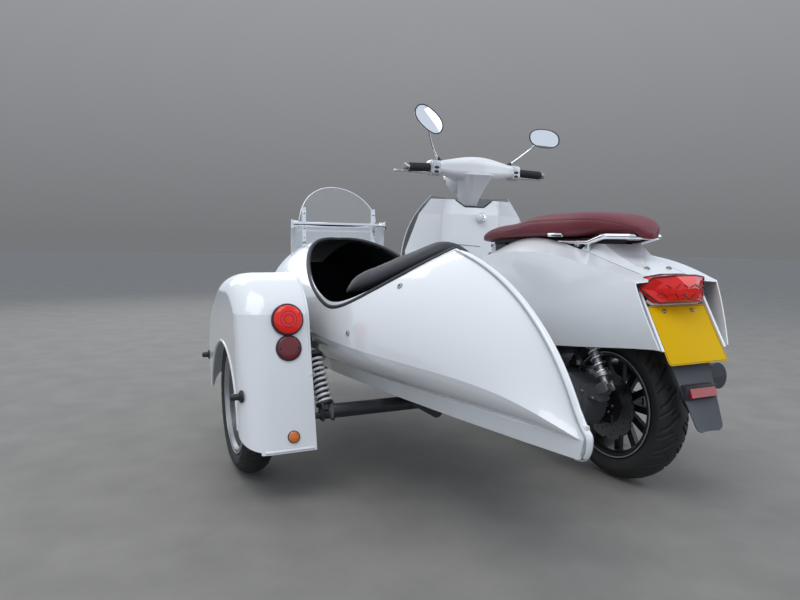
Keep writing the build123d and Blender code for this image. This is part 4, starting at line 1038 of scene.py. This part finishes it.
def dress_dampers():
    """The sidecar's spring damper with its bracket, and the scooter's two at the rear."""
    shape = Shape()
    low, high = np.array([0.915, -0.218, 0.247]), np.array([0.926, -0.318, 0.408])
    shock(shape, low, high, 0.025, 0.0185, sizes().wire, 9, 1, 0)
    shape.rod((0.898, -0.215, 0.24), (0.936, -0.215, 0.24), 0.014, 1)
    shape.rod((0.893, -0.215, 0.24), (0.898, -0.215, 0.24), 0.01, 3, 6)
    cheek = rounded([(-0.24, 0.222), (-0.196, 0.222), (-0.196, 0.262), (-0.218, 0.282), (-0.24, 0.262)],
                    0.008, 4, True)
    for x in (0.897, 0.927):
        shape.plate(cheek, x, x + 0.006, 0.001, 1)
    piece("sidecar_spring_damper", shape, ["spring", "black", "steel", "chrome"],
          ["sidecar_damper"])

    shape = Shape()
    cheek = rounded([(-0.016, -0.016), (0.016, -0.016), (0.013, 0.03), (-0.013, 0.03)], 0.006, 4, True)
    for side in (-1, 1):
        low, high = np.array([side * 0.142, 0.084, 0.318]), np.array([side * 0.142, -0.078, 0.596])
        shock(shape, low, high, 0.022, 0.012, 0.0036, 11, 1, 0)
        shape.rod(low - (0.016, 0, 0), low + (0.016, 0, 0), 0.013, 1)
        for step in (-0.014, 0.014):
            shape.plate(cheek, step - 0.003, step + 0.003, 0.001, 1, low, (0, -0.503, 0.864),
                        (0, -0.864, -0.503))
    piece("rear_spring_dampers", shape, ["chrome", "alloy"], ["rear_dampers"])


def dress_seat():
    """The rider's seat: a saddle whose lower edge arches over the grab rail."""
    # Columns: y, half width, lower edge z, top z
    rows = np.array([
        (-0.716, 0.062, 0.742, 0.757), (-0.69, 0.09, 0.743, 0.771), (-0.64, 0.118, 0.746, 0.79),
        (-0.54, 0.138, 0.752, 0.809), (-0.43, 0.146, 0.755, 0.819), (-0.345, 0.147, 0.757, 0.838),
        (-0.24, 0.147, 0.759, 0.845), (-0.13, 0.145, 0.761, 0.846), (-0.06, 0.137, 0.768, 0.842),
        (-0.01, 0.12, 0.776, 0.833), (0.03, 0.094, 0.779, 0.82), (0.06, 0.066, 0.778, 0.806),
        (0.076, 0.048, 0.776, 0.797), (0.081, 0.04, 0.758, 0.791), (0.09, 0.014, 0.757, 0.776)])
    smooth, sides, seams = 110, 72, (20, 160)
    at = np.concatenate([np.linspace(rows[0, 0], 0.06, smooth), np.linspace(0.062, 0.09, 16)])
    half, top = np.stack([np.interp(at, rows[:, 0], rows[:, k]) for k in (1, 3)])
    half[:smooth], top[:smooth] = cubic(rows[:-2, 0], rows[:-2, [1, 3]], at[:smooth]).T
    low = np.minimum(np.interp(at, rows[:, 0], rows[:, 2]), top - 0.004)
    turn = np.linspace(0, math.tau, sides, endpoint=False)
    c, s = np.cos(turn), np.sin(turn)
    groove = sum(np.exp(-((turn - math.radians(seam)) / 0.06) ** 2) for seam in seams)
    rings = []
    for y, w, bottom, high in zip(at, half, low, top):
        middle = bottom + 0.42 * (high - bottom)
        rise = np.where(s > 0, (high - middle) * np.abs(s) ** 0.8, -(middle - bottom) * np.abs(s) ** 0.45)
        pull = 0.0022 * groove * min(1.0, w / 0.08)
        rings.append(np.stack([w * swell(c, 0.62) * (1 - pull / max(w, 0.02)), np.full(sides, y),
                               middle + rise - 0.4 * pull], axis=1))
    rings = np.array(rings)
    # A shallow dip between the rider's place and the pillion's
    rings[:, :, 2] -= 0.0035 * np.exp(-((rings[:, :, 1] + 0.385) / 0.02) ** 2) * (rings[:, :, 2] > 0.8)
    shape = Shape().sheet(rings, around=True, caps=True)
    # Painted shade: dark bars along the two seams, over the grooves that the seams pull in
    for seam in seams:
        shape.bar(rings[4:-3, seam * sides // 360] + (0, 0, 0.0004), 0.0012, 1, 8)
    made = piece("rider_seat", shape, ["seat", "gap"], ["seat_cushion"], "seat", crease=55)


def dress_rail():
    """The feet of the chrome rail beside the seat and the clips under it."""
    shape = Shape()
    for side in (-1, 1):
        for y in (-0.11, -0.18):
            shape.rod((side * 0.1, y, 0.741), (side * 0.112, y, 0.741), 0.012)
    for side in (-1, 1):
        near, far = sorted((side * 0.104, side * 0.118))
        shape.block((near, -0.33, 0.741), (far, -0.245, 0.752))
    piece("grab_rail_clips", shape, "chrome")


def make_tail_lamp():
    """The faceted tail lamp with its border, gasket and the prisms inside its lens, drawn as bars of a
    darker red: painted shade.
    """
    # Columns: x, y, z of the lens outline, from the right low corner round the top
    outline = np.array([
        (-0.128, 0.175, 0.617), (-0.103, 0.178, 0.649), (-0.04, 0.176, 0.656), (0.04, 0.176, 0.656),
        (0.103, 0.178, 0.649), (0.128, 0.175, 0.617), (0.087, 0.182, 0.579), (-0.087, 0.182, 0.579)])
    middle = np.array([0.0, 0.245, 0.603])
    belly = np.array([(x * 0.985, max(y, y + 0.05 * (1 - (x / 0.132) ** 2)), z) for x, y, z in outline])
    shell = [outline, belly]
    # Columns: share of the belly, y at the middle, fall to the side, where it falls so far, its power
    for share, y, fall, reach, power in ((0.72, 0.242, 0.052, 0.095, 1.6), (0.34, 0.246, 0.03, 0.08, 2)):
        face = middle + (belly - middle) * share
        face[:, 1] = y - fall * (np.abs(face[:, 0]) / reach) ** power
        shell.append(face)
    shape = Shape().sheet(shell, around=True, caps=True)
    gasket = outline * (1.02, 1, 1) + (0, -0.006, -0.0015)
    for index, (border, radius) in enumerate(((belly, 0.0028), (gasket, 0.0042)), 1):
        shape.bar(rounded([*border, border[0]], 0.006, 4), radius, index, 10)
    # Painted shade: the prisms are bars of the deep red finish, darker than the lens around them
    # Columns: x, z, run in x, run in z
    for x, z, dx, dz in (
            (-0.085, 0.61, 0.022, 0.012), (-0.08, 0.598, 0.016, 0.014), (-0.06, 0.59, 0.02, 0.008),
            (-0.052, 0.612, 0.018, -0.01), (-0.036, 0.594, 0.014, 0.014), (-0.02, 0.606, 0.018, -0.012),
            (0.006, 0.59, 0.016, 0.012), (0.014, 0.608, 0.02, -0.008), (0.036, 0.592, 0.014, 0.014),
            (0.046, 0.61, 0.02, -0.01), (0.062, 0.594, 0.018, 0.01), (0.074, 0.612, 0.016, -0.012),
            (-0.078, 0.622, 0.02, 0.008), (-0.056, 0.632, 0.018, -0.01), (-0.034, 0.622, 0.016, 0.01),
            (-0.014, 0.632, 0.02, -0.008), (0.01, 0.622, 0.016, 0.01), (0.032, 0.634, 0.018, -0.012),
            (0.054, 0.62, 0.018, 0.01)):
        y = 0.2445 - 0.046 * (abs(x + dx / 2) / 0.095) ** 1.8
        shape.bar([(x, y, z), (x + dx / 2, y + 0.001, z + dz / 2), (x + dx, y, z + dz)], 0.0016, 1, 6)
    tray = [(-0.1, 0.178, 0.583), (-0.092, 0.19, 0.5735), (0.092, 0.19, 0.5735), (0.1, 0.178, 0.583)]
    shape.bar(rounded(tray, 0.008, 5), 0.0045, 3, 12)
    piece("faceted_tail_lamp", shape, ["lens", "dark lens", "black", "panel"], ["tail_lamp"],
          crease=18)


def dress_tail():
    """The tail lamp, the blank plate with its bolts, the mud flap and the reflector's housing."""
    make_tail_lamp()
    slope = math.radians(31.0)
    down = direction(0, math.sin(slope), -math.cos(slope))
    out = direction(0, math.cos(slope), math.sin(slope))
    top = np.array([0.0, 0.193, 0.568])
    half, height = 0.1145, 0.178
    corners = [(-half, 0), (half, 0), (half, height), (-half, height)]
    outline = rounded(corners, 0.011, 8, closed=True) * (1, -1)
    shape = Shape().plate(outline, -0.001, 0.001, 0.0006, 0, top, (1, 0, 0), -down)
    for x in (-0.056, 0.056):
        bolt(shape, top + np.array([x, 0, 0]) + down * 0.017 + out * 0.0008, out, 0.0065, 0.005, finish=1,
             socket=2)
    # Painted shade: a thin dark line just inside the plate's edge
    line = [top + x * np.array([1.0, 0, 0]) - z * down + out * 0.0009
            for x, z in offset_outline(outline, 0.0035)]
    shape.bar([*line, line[0]], 0.0006, 2, 6)
    piece("blank_rear_plate", shape, ["plate", "steel", "gap"],
          ["number_plate"])

    high, low = 0.52, 0.237
    line = even(rounded([(0, 0.196, high), (0, 0.25, 0.411), (0, 0.33, low)], 0.05, 10), 60)
    drop = (line[:, 2] - low) / (high - low)
    half = np.interp(drop, (0, 0.05, 0.6, 1.0), (0.0495, 0.0515, 0.0745, 0.0745))
    half -= 0.016 * (1 - np.sqrt(np.clip(1 - (1 - np.clip(drop / 0.06, 0, 1)) ** 2, 0, 1)))
    spread = np.broadcast_to(np.linspace(-1, 1, 25), (60, 25))
    grid = line[:, None] + np.stack([half[:, None] * spread, 0.004 * spread ** 2, 0 * spread], axis=2)
    piece("mud_flap_sheet", Shape().sheet(grid), "flap", ["mud_flap"],
          thickness=0.003)

    near, far = (np.array(corner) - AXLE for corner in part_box("rear_reflector"))
    y = (near[1] + far[1]) / 2
    shape = Shape().block((near[0] - 0.006, y - 0.022, near[2] - 0.004),
                          (far[0] + 0.014, y + 0.002, far[2] + 0.005), 0, 0.003)
    piece("reflector_housing", shape, "black")


def dress_body():
    """The deck's two bolts, and dark bars of painted shade along the seams between the side panels and the
    deck.
    """
    shape = Shape()
    for side in (-1, 1):
        spot = on("tail_deck", (side * 0.06, 0.122, 0.9), DOWN)[0]
        bolt(shape, (side * 0.044, 0.122, spot[2]), (0, 0.2, 1), 0.0085, 0.005, socket=1)
    piece("body_bolts", shape, ["steel", "gap"])

    # Painted shade: a thin dark bar along each seam where a side panel meets the deck
    starts = [(np.interp(y, SEAM_Y, SEAM_X) + 0.003, y, 1.2) for y in np.linspace(-0.6, 0.14, 80)]
    seam = np.array(traced("side_panel_left", starts, DOWN))
    shape = Shape()
    for side in (-1, 1):
        shape.bar(even(seam * (side, 1, 1), 90) - (side * 0.003, 0, 0.0006), 0.0013, 0, 8)
    piece("body_seam_shade_bars", shape, "gap")


def on_case(centre, reach, angle):
    """Where the belt case's side is met at a reach and an angle from a centre, or None."""
    y, z = centre
    return hit("engine_unit", (0.3, y + reach * math.cos(angle), z + reach * math.sin(angle)), (-1, 0, 0))


def dress_engine():
    """The belt case's bolts and rings, the rigid pipes and the caliper beside the rear wheel."""
    shape = Shape()
    for centre, reach in ((BELT_PULLEY, 0.066), (REAR_HUB, 0.052)):
        for angle in np.linspace(0, math.tau, 8, endpoint=False):
            found = on_case(centre, reach, angle)
            if found is not None and found[0][0] > 0.12:
                bolt(shape, found[0], (1, 0, 0), 0.0055, 0.005, socket=1)
    for reach in (0.05, 0.03):
        ring = [on_case(BELT_PULLEY, reach, angle)[0] for angle in np.linspace(0, math.tau, 61)]
        shape.sheet(pipe(ring, 0.0022, 8), 2, around=True)
    piece("belt_case_bolts", shape, ["steel", "gap", "engine"])

    shape = Shape()
    # Columns: radius, then the places that the pipe passes
    for radius, *places in (
            (0.005, (0.11, -0.25, 0.3), (0.128, -0.2, 0.36), (0.12, -0.15, 0.41), (0.118, -0.11, 0.5)),
            (0.004, (0.075, -0.07, 0.32), (0.12, -0.06, 0.36), (0.122, -0.1, 0.42), (0.116, -0.15, 0.52)),
            (0.0032, (0.082, -0.06, 0.345), (0.15, -0.01, 0.37), (0.146, -0.06, 0.43),
             (0.125, -0.08, 0.52))):
        shape.bar(through(places, 40), radius, 0, 12)
    for x, y, z in ((0.128, -0.2, 0.36), (0.12, -0.065, 0.364), (0.146, -0.06, 0.43)):
        shape.rod((x, y, z - 0.008), (x, y, z + 0.008), 0.0085, 1, 16)
    piece("engine_pipes", shape, ["black", "steel"])

    caliper = rounded([(-0.112, 0.06), (-0.06, 0.118), (-0.014, 0.1), (-0.03, 0.062), (-0.066, 0.036)],
                      0.01, 5, True)
    shape = Shape().plate(caliper, 0.064, 0.086, 0.004, 0, (0, 0, REAR_AXLE_Z))
    for y, z in ((-0.088, 0.31), (-0.052, 0.336)):
        shape.rod((0.084, y, z), (0.094, y, z), 0.013, 0, 24)
        shape.rod((0.094, y, z), (0.098, y, z), 0.007, 1, 6)
    piece("rear_brake_caliper", shape, ["silver", "steel"])


def make_headlamp():
    """The headlamp's chrome ring, domed glass and ribs."""
    ahead = direction(0, -1, -0.12)
    front, radius, bulge = -1.074, 0.0645, 0.009
    middle = np.array([0.0, front, 1.0303])
    ring = [(-0.012, 0.0665), (-0.012, 0.071), (0.001, 0.0715), (0.004, 0.069), (0.003, 0.065),
            (-0.001, 0.064)]
    shape = Shape().sheet(lathe(ring, middle, ahead, 72), around=True, loop=True)
    dome = [(bulge * math.cos(t) - 0.0005, radius * math.sin(t)) for t in np.linspace(math.pi / 2, 0.06, 12)]
    shape.turned(dome, middle, ahead, 72, 1)
    for x in np.linspace(-0.048, 0.048, 9):
        half = 0.9 * math.sqrt(0.06 ** 2 - x * x)
        line = []
        for z in np.linspace(-half, half, 15):
            rise = bulge * math.sqrt(max(0.0, 1 - (x * x + z * z) / radius ** 2))
            line.append((x, front - rise + 0.12 * z, 1.0293 + z))
        shape.bar(line, 0.0007, 0, 6)
    piece("headlamp_lens", shape, ["chrome", "glass"], body="steering")


def dress_front():
    """The shield's edge trim, the headlamp, the floor's ridges, the lock, painted shade in the panel's gaps
    and seat clips.
    """
    shape = Shape()
    for side in (-1, 1):
        starts = [(side * 0.6, -0.935, z) for z in np.linspace(0.33, 0.9, 60)]
        shape.bar(even(traced("leg_shield", starts, (-side, 0, 0)), 80), 0.005, 0, 12)
    piece("shield_edge_trim", shape, "chrome")
    make_headlamp()

    shape = Shape()
    for x in np.linspace(-0.165, 0.165, 7):
        shape.block((x - 0.006, -0.85, 0.311), (x + 0.006, -0.65, 0.315), 0, 0.0015)
    piece("floor_ridges", shape, "rubber")

    place, facing = seen("inner_panel", 480.5, 218)[0], (0, 1, 0.25)
    shape = Shape()
    shape.turned([(-0.03, 0.026), (0.006, 0.024), (0.018, 0.022), (0.022, 0.018), (0.02, 0.014)], place,
                 facing, 40)
    shape.turned([(0.016, 0.0135), (0.023, 0.0125), (0.0245, 0.01)], place, facing, 32, 1)
    # Painted shade: the key slot is a small dark block on the lock's face
    spot = place + 0.024 * direction(*facing)
    shape.block(spot - (0.0012, 0.001, 0.006), spot + (0.0012, 0.002, 0.006), 2, 0.0003)
    piece("ignition_lock", shape, ["panel", "chrome", "gap"])

    # Painted shade: dark bars in the inner panel's notch and along a gap below it
    notch = even([(-0.103, 0.93), (-0.049, 0.8945), (0.049, 0.8945), (0.103, 0.93)], 40)
    notch = traced("inner_panel", [(x, -0.6, z) for x, z in notch], (0, -1, 0))
    shape = Shape().bar(even(notch, 50), 0.003, 0, 10)
    shape.bar([seen("inner_panel", px, 244 + (px - 452) / 11)[0] for px in range(436, 484, 4)], 0.0012, 0, 8)
    piece("panel_gap_shade_bars", shape, "gap")

    place = seen("seat_cushion", 555.5, 235.0)[0]
    shape = Shape()
    for side in (-1, 1):
        middle = place * (side, 1, 1)
        shape.block(middle - (0.006, 0.036, 0.006), middle + (0.006, 0.036, 0.007), 0, 0.004)
    piece("seat_side_clips", shape, "chrome", body="seat")


def seen_as(centre, normal, across_px, down_px):
    """A vector square to a normal that shows as the given run of pixels in the photograph."""
    ahead, right, below = camera_axes()
    scale = np.dot(ahead, np.asarray(centre) - CAMERA_PLACE) / CAMERA_FOCAL_PIXELS
    flat = (right * across_px + below * down_px) * scale
    return flat - ahead * np.dot(flat, normal) / np.dot(ahead, normal)


def make_mirrors():
    """The mirrors' heads, stems, rubber boots and glasses."""
    shape, glass = Shape(), Shape()
    flat = oval(1, 1, 72, 2.35)
    # Columns: stem's foot and bend, head's middle and facing, its long and short half axes in pixels
    for foot, bend, centre, normal, long_half, short_half in (
            ((0.172, -0.93, 1.082), (0.236, -0.9, 1.17), (0.268, -0.852, 1.24), (-0.02, 0.95, 0.16),
             (13.2, 10.6), (5.4, -9.0)),
            ((-0.172, -0.93, 1.082), (-0.262, -0.905, 1.15), (-0.33, -0.868, 1.21), (0.22, 0.95, 0.05),
             (16.0, 0.6), (-0.4, -9.4))):
        foot, bend, centre, normal = np.array(foot), np.array(bend), np.array(centre), direction(*normal)
        spread = (flat[:, :1] * seen_as(centre, normal, *long_half)
                  + flat[:, 1:] * seen_as(centre, normal, *short_half))
        # Columns: share of the head's outline, and distance in front of its middle
        shell = [centre + normal * level + grow * spread for grow, level in (
            (0.3, -0.022), (0.62, -0.02), (0.86, -0.013), (0.97, -0.004), (1.0, 0.001), (0.985, 0.0035),
            (0.93, 0.0035), (0.92, 0.001), (0.925, 0.0), (0.925, 0.0016), (0.9, 0.002))]
        shape.sheet(shell[:5], 1, around=True)
        shape.add(shell[0], [tuple(range(len(flat)))], 1)
        shape.sheet(shell[4:8], 0, around=True)
        glass.sheet(shell[8:], around=True, caps=True)
        neck = centre - normal * 0.018
        shape.bar(through([foot, (foot + bend) / 2 + (0.004, 0, -0.004), bend, neck], 40), 0.0045, 1)
        shape.ball(neck, (0.02, 0.016, 0.02))
        boot = [(-0.012, 0.013), (0.002, 0.0125), (0.01, 0.0085), (0.022, 0.0062), (0.026, 0.0048)]
        shape.turned(boot, foot, direction(*(bend - foot)), 28)
    piece("mirror_heads_and_stems", shape, ["black", "chrome"], ["mirrors"], "steering",
          merge=0.00005)
    piece("mirror_faces", glass, "mirror", ["mirror_glasses"], "steering")


def dress_controls():
    """Switch buttons, ribbed grips, end weights, levers and mirrors."""
    ribs, parts = Shape(), Shape()
    for side in (-1, 1):
        near, far = np.array([side * 0.222, -0.921, 1.0548]), np.array([side * 0.336, -0.9015, 1.0485])
        along = direction(*(far - near))
        for share in np.linspace(0.06, 0.94, 18):
            ribs.turned([(-0.002, 0.0166), (-0.0012, 0.0182), (0.0012, 0.0182), (0.002, 0.0166)],
                        near + share * (far - near), along, 28)
        ribs.turned([(-0.001, 0.017), (0.0, 0.023), (0.004, 0.0235), (0.006, 0.018)], near, along, 36)
        weight = [(0.0, 0.013), (0.002, 0.0165), (0.014, 0.0165), (0.018, 0.013), (0.019, 0.006)]
        parts.turned(weight, far, along, 36)
        parts.ball((side * 0.203, -0.925, 1.053), (0.054, 0.056, 0.068), 2, 5.0, 14)
        for z, y in ((1.071, -0.8995), (1.054, -0.8968), (1.037, -0.8985)):
            parts.plate(oval(0.0115, 0.0062, 28), -0.0035, 0.0015, 0.001, 1, (side * 0.203, y, z),
                        (-1, 0, 0))
        pivot = np.array([side * 0.205, -0.944, 1.05])
        parts.rod(pivot - (0, 0, 0.012), pivot + (0, 0, 0.012), 0.011, 2)
        parts.ball((side * 0.372, -0.95, 1.036), (0.015, 0.015, 0.015), 2)
    piece("grip_ribs", ribs, "rubber", body="steering")
    piece("switch_buttons_and_levers", parts, ["steel", "black", "silver"],
          body="steering", merge=0.00005)
    make_mirrors()


class MakeStage(bpy.types.Operator):
    """Set up the camera, the floor and the soft light."""
    bl_idname = "sidecar.stage"
    bl_label = "Stage"

    def execute(self, context):
        make_stage()
        return {"FINISHED"}


class FinishNodes(bpy.types.Operator):
    """Make the finishes and give each carried-over part its own."""
    bl_idname = "sidecar.finishes"
    bl_label = "Finishes"

    def execute(self, context):
        make_finishes()
        finish_nodes()
        return {"FINISHED"}


class DressWheels(bpy.types.Operator):
    """Tread the tyres and dress the rims and brake discs."""
    bl_idname = "sidecar.wheels"
    bl_label = "Wheels"

    def execute(self, context):
        dress_wheels()
        return {"FINISHED"}


class DressHull(bpy.types.Operator):
    """Edge and line the sidecar's cockpit and pipe its stern."""
    bl_idname = "sidecar.hull"
    bl_label = "Sidecar hull"

    def execute(self, context):
        dress_hull()
        return {"FINISHED"}


class DressCockpit(bpy.types.Operator):
    """Pad the cockpit's rim and its seat."""
    bl_idname = "sidecar.cockpit"
    bl_label = "Cockpit padding"

    def execute(self, context):
        dress_cockpit()
        return {"FINISHED"}


class DressScreen(bpy.types.Operator):
    """Dress the sidecar's screen, its bar and its apron."""
    bl_idname = "sidecar.screen"
    bl_label = "Sidecar screen"

    def execute(self, context):
        dress_screen()
        return {"FINISHED"}


class DressMudguard(bpy.types.Operator):
    """Roll the mudguard's lips and dress its lamps."""
    bl_idname = "sidecar.mudguard"
    bl_label = "Mudguard and its lamps"

    def execute(self, context):
        dress_mudguard()
        return {"FINISHED"}


class DressDampers(bpy.types.Operator):
    """Wind the springs of the dampers."""
    bl_idname = "sidecar.dampers"
    bl_label = "Dampers"

    def execute(self, context):
        dress_dampers()
        return {"FINISHED"}


class DressSeat(bpy.types.Operator):
    """Stitch the rider's seat over the grab rail."""
    bl_idname = "sidecar.seat"
    bl_label = "Rider's seat"

    def execute(self, context):
        dress_seat()
        return {"FINISHED"}


class DressRail(bpy.types.Operator):
    """Clip the grab rail to the body."""
    bl_idname = "sidecar.rail"
    bl_label = "Grab rail"

    def execute(self, context):
        dress_rail()
        return {"FINISHED"}


class DressTail(bpy.types.Operator):
    """Facet the tail lamp and dress the plate and the mud flap."""
    bl_idname = "sidecar.tail"
    bl_label = "Tail lamp and plate"

    def execute(self, context):
        dress_tail()
        return {"FINISHED"}


class DressBody(bpy.types.Operator):
    """Paint shade along the body's seams as dark bars and set its bolts."""
    bl_idname = "sidecar.body"
    bl_label = "Body seams and bolts"

    def execute(self, context):
        dress_body()
        return {"FINISHED"}


class DressEngine(bpy.types.Operator):
    """Set the belt case's bolts and the brake caliper."""
    bl_idname = "sidecar.engine"
    bl_label = "Engine details"

    def execute(self, context):
        dress_engine()
        return {"FINISHED"}


class DressFront(bpy.types.Operator):
    """Trim the leg shield and set the lock."""
    bl_idname = "sidecar.front"
    bl_label = "Shield trim"

    def execute(self, context):
        dress_front()
        return {"FINISHED"}


class DressControls(bpy.types.Operator):
    """Dress the grips, switches, levers and mirrors."""
    bl_idname = "sidecar.controls"
    bl_label = "Controls and mirrors"

    def execute(self, context):
        dress_controls()
        return {"FINISHED"}


STEPS = [MakeStage, FinishNodes, DressWheels, DressHull, DressCockpit, DressScreen, DressMudguard,
         DressDampers, DressSeat, DressRail, DressTail, DressBody, DressEngine, DressFront, DressControls]


class SidecarPanel(bpy.types.Panel):
    """Lists the settings and the steps."""
    bl_idname = "VIEW3D_PT_sidecar"
    bl_label = "Scooter with sidecar"
    bl_space_type = "VIEW_3D"
    bl_region_type = "UI"
    bl_category = "Sidecar"

    def draw(self, context):
        """Show the sizes, the colours and a button for each step."""
        for group in (context.scene.sidecar_sizes, context.scene.sidecar_colours):
            for name in group.__annotations__:
                self.layout.prop(group, name)
        for operator in STEPS:
            self.layout.operator(operator.bl_idname)


CLASSES = [SidecarColours, SidecarSizes, *STEPS, SidecarPanel]


def register():
    """Register the classes and give the scene its settings."""
    for kind in CLASSES:
        bpy.utils.register_class(kind)
    bpy.types.Scene.sidecar_colours = bpy.props.PointerProperty(type=SidecarColours)
    bpy.types.Scene.sidecar_sizes = bpy.props.PointerProperty(type=SidecarSizes)


def unregister():
    """Take the settings and the classes away again."""
    del bpy.types.Scene.sidecar_sizes
    del bpy.types.Scene.sidecar_colours
    for kind in reversed(CLASSES):
        bpy.utils.unregister_class(kind)


def main():
    """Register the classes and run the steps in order."""
    register()
    steps = bpy.ops.sidecar
    for step in (steps.stage, steps.finishes, steps.wheels, steps.hull, steps.cockpit, steps.screen,
                 steps.mudguard, steps.dampers, steps.seat, steps.rail, steps.tail, steps.body, steps.engine,
                 steps.front, steps.controls):
        step()
    bpy.context.view_layer.update()


if __name__ == "__main__":
    main()
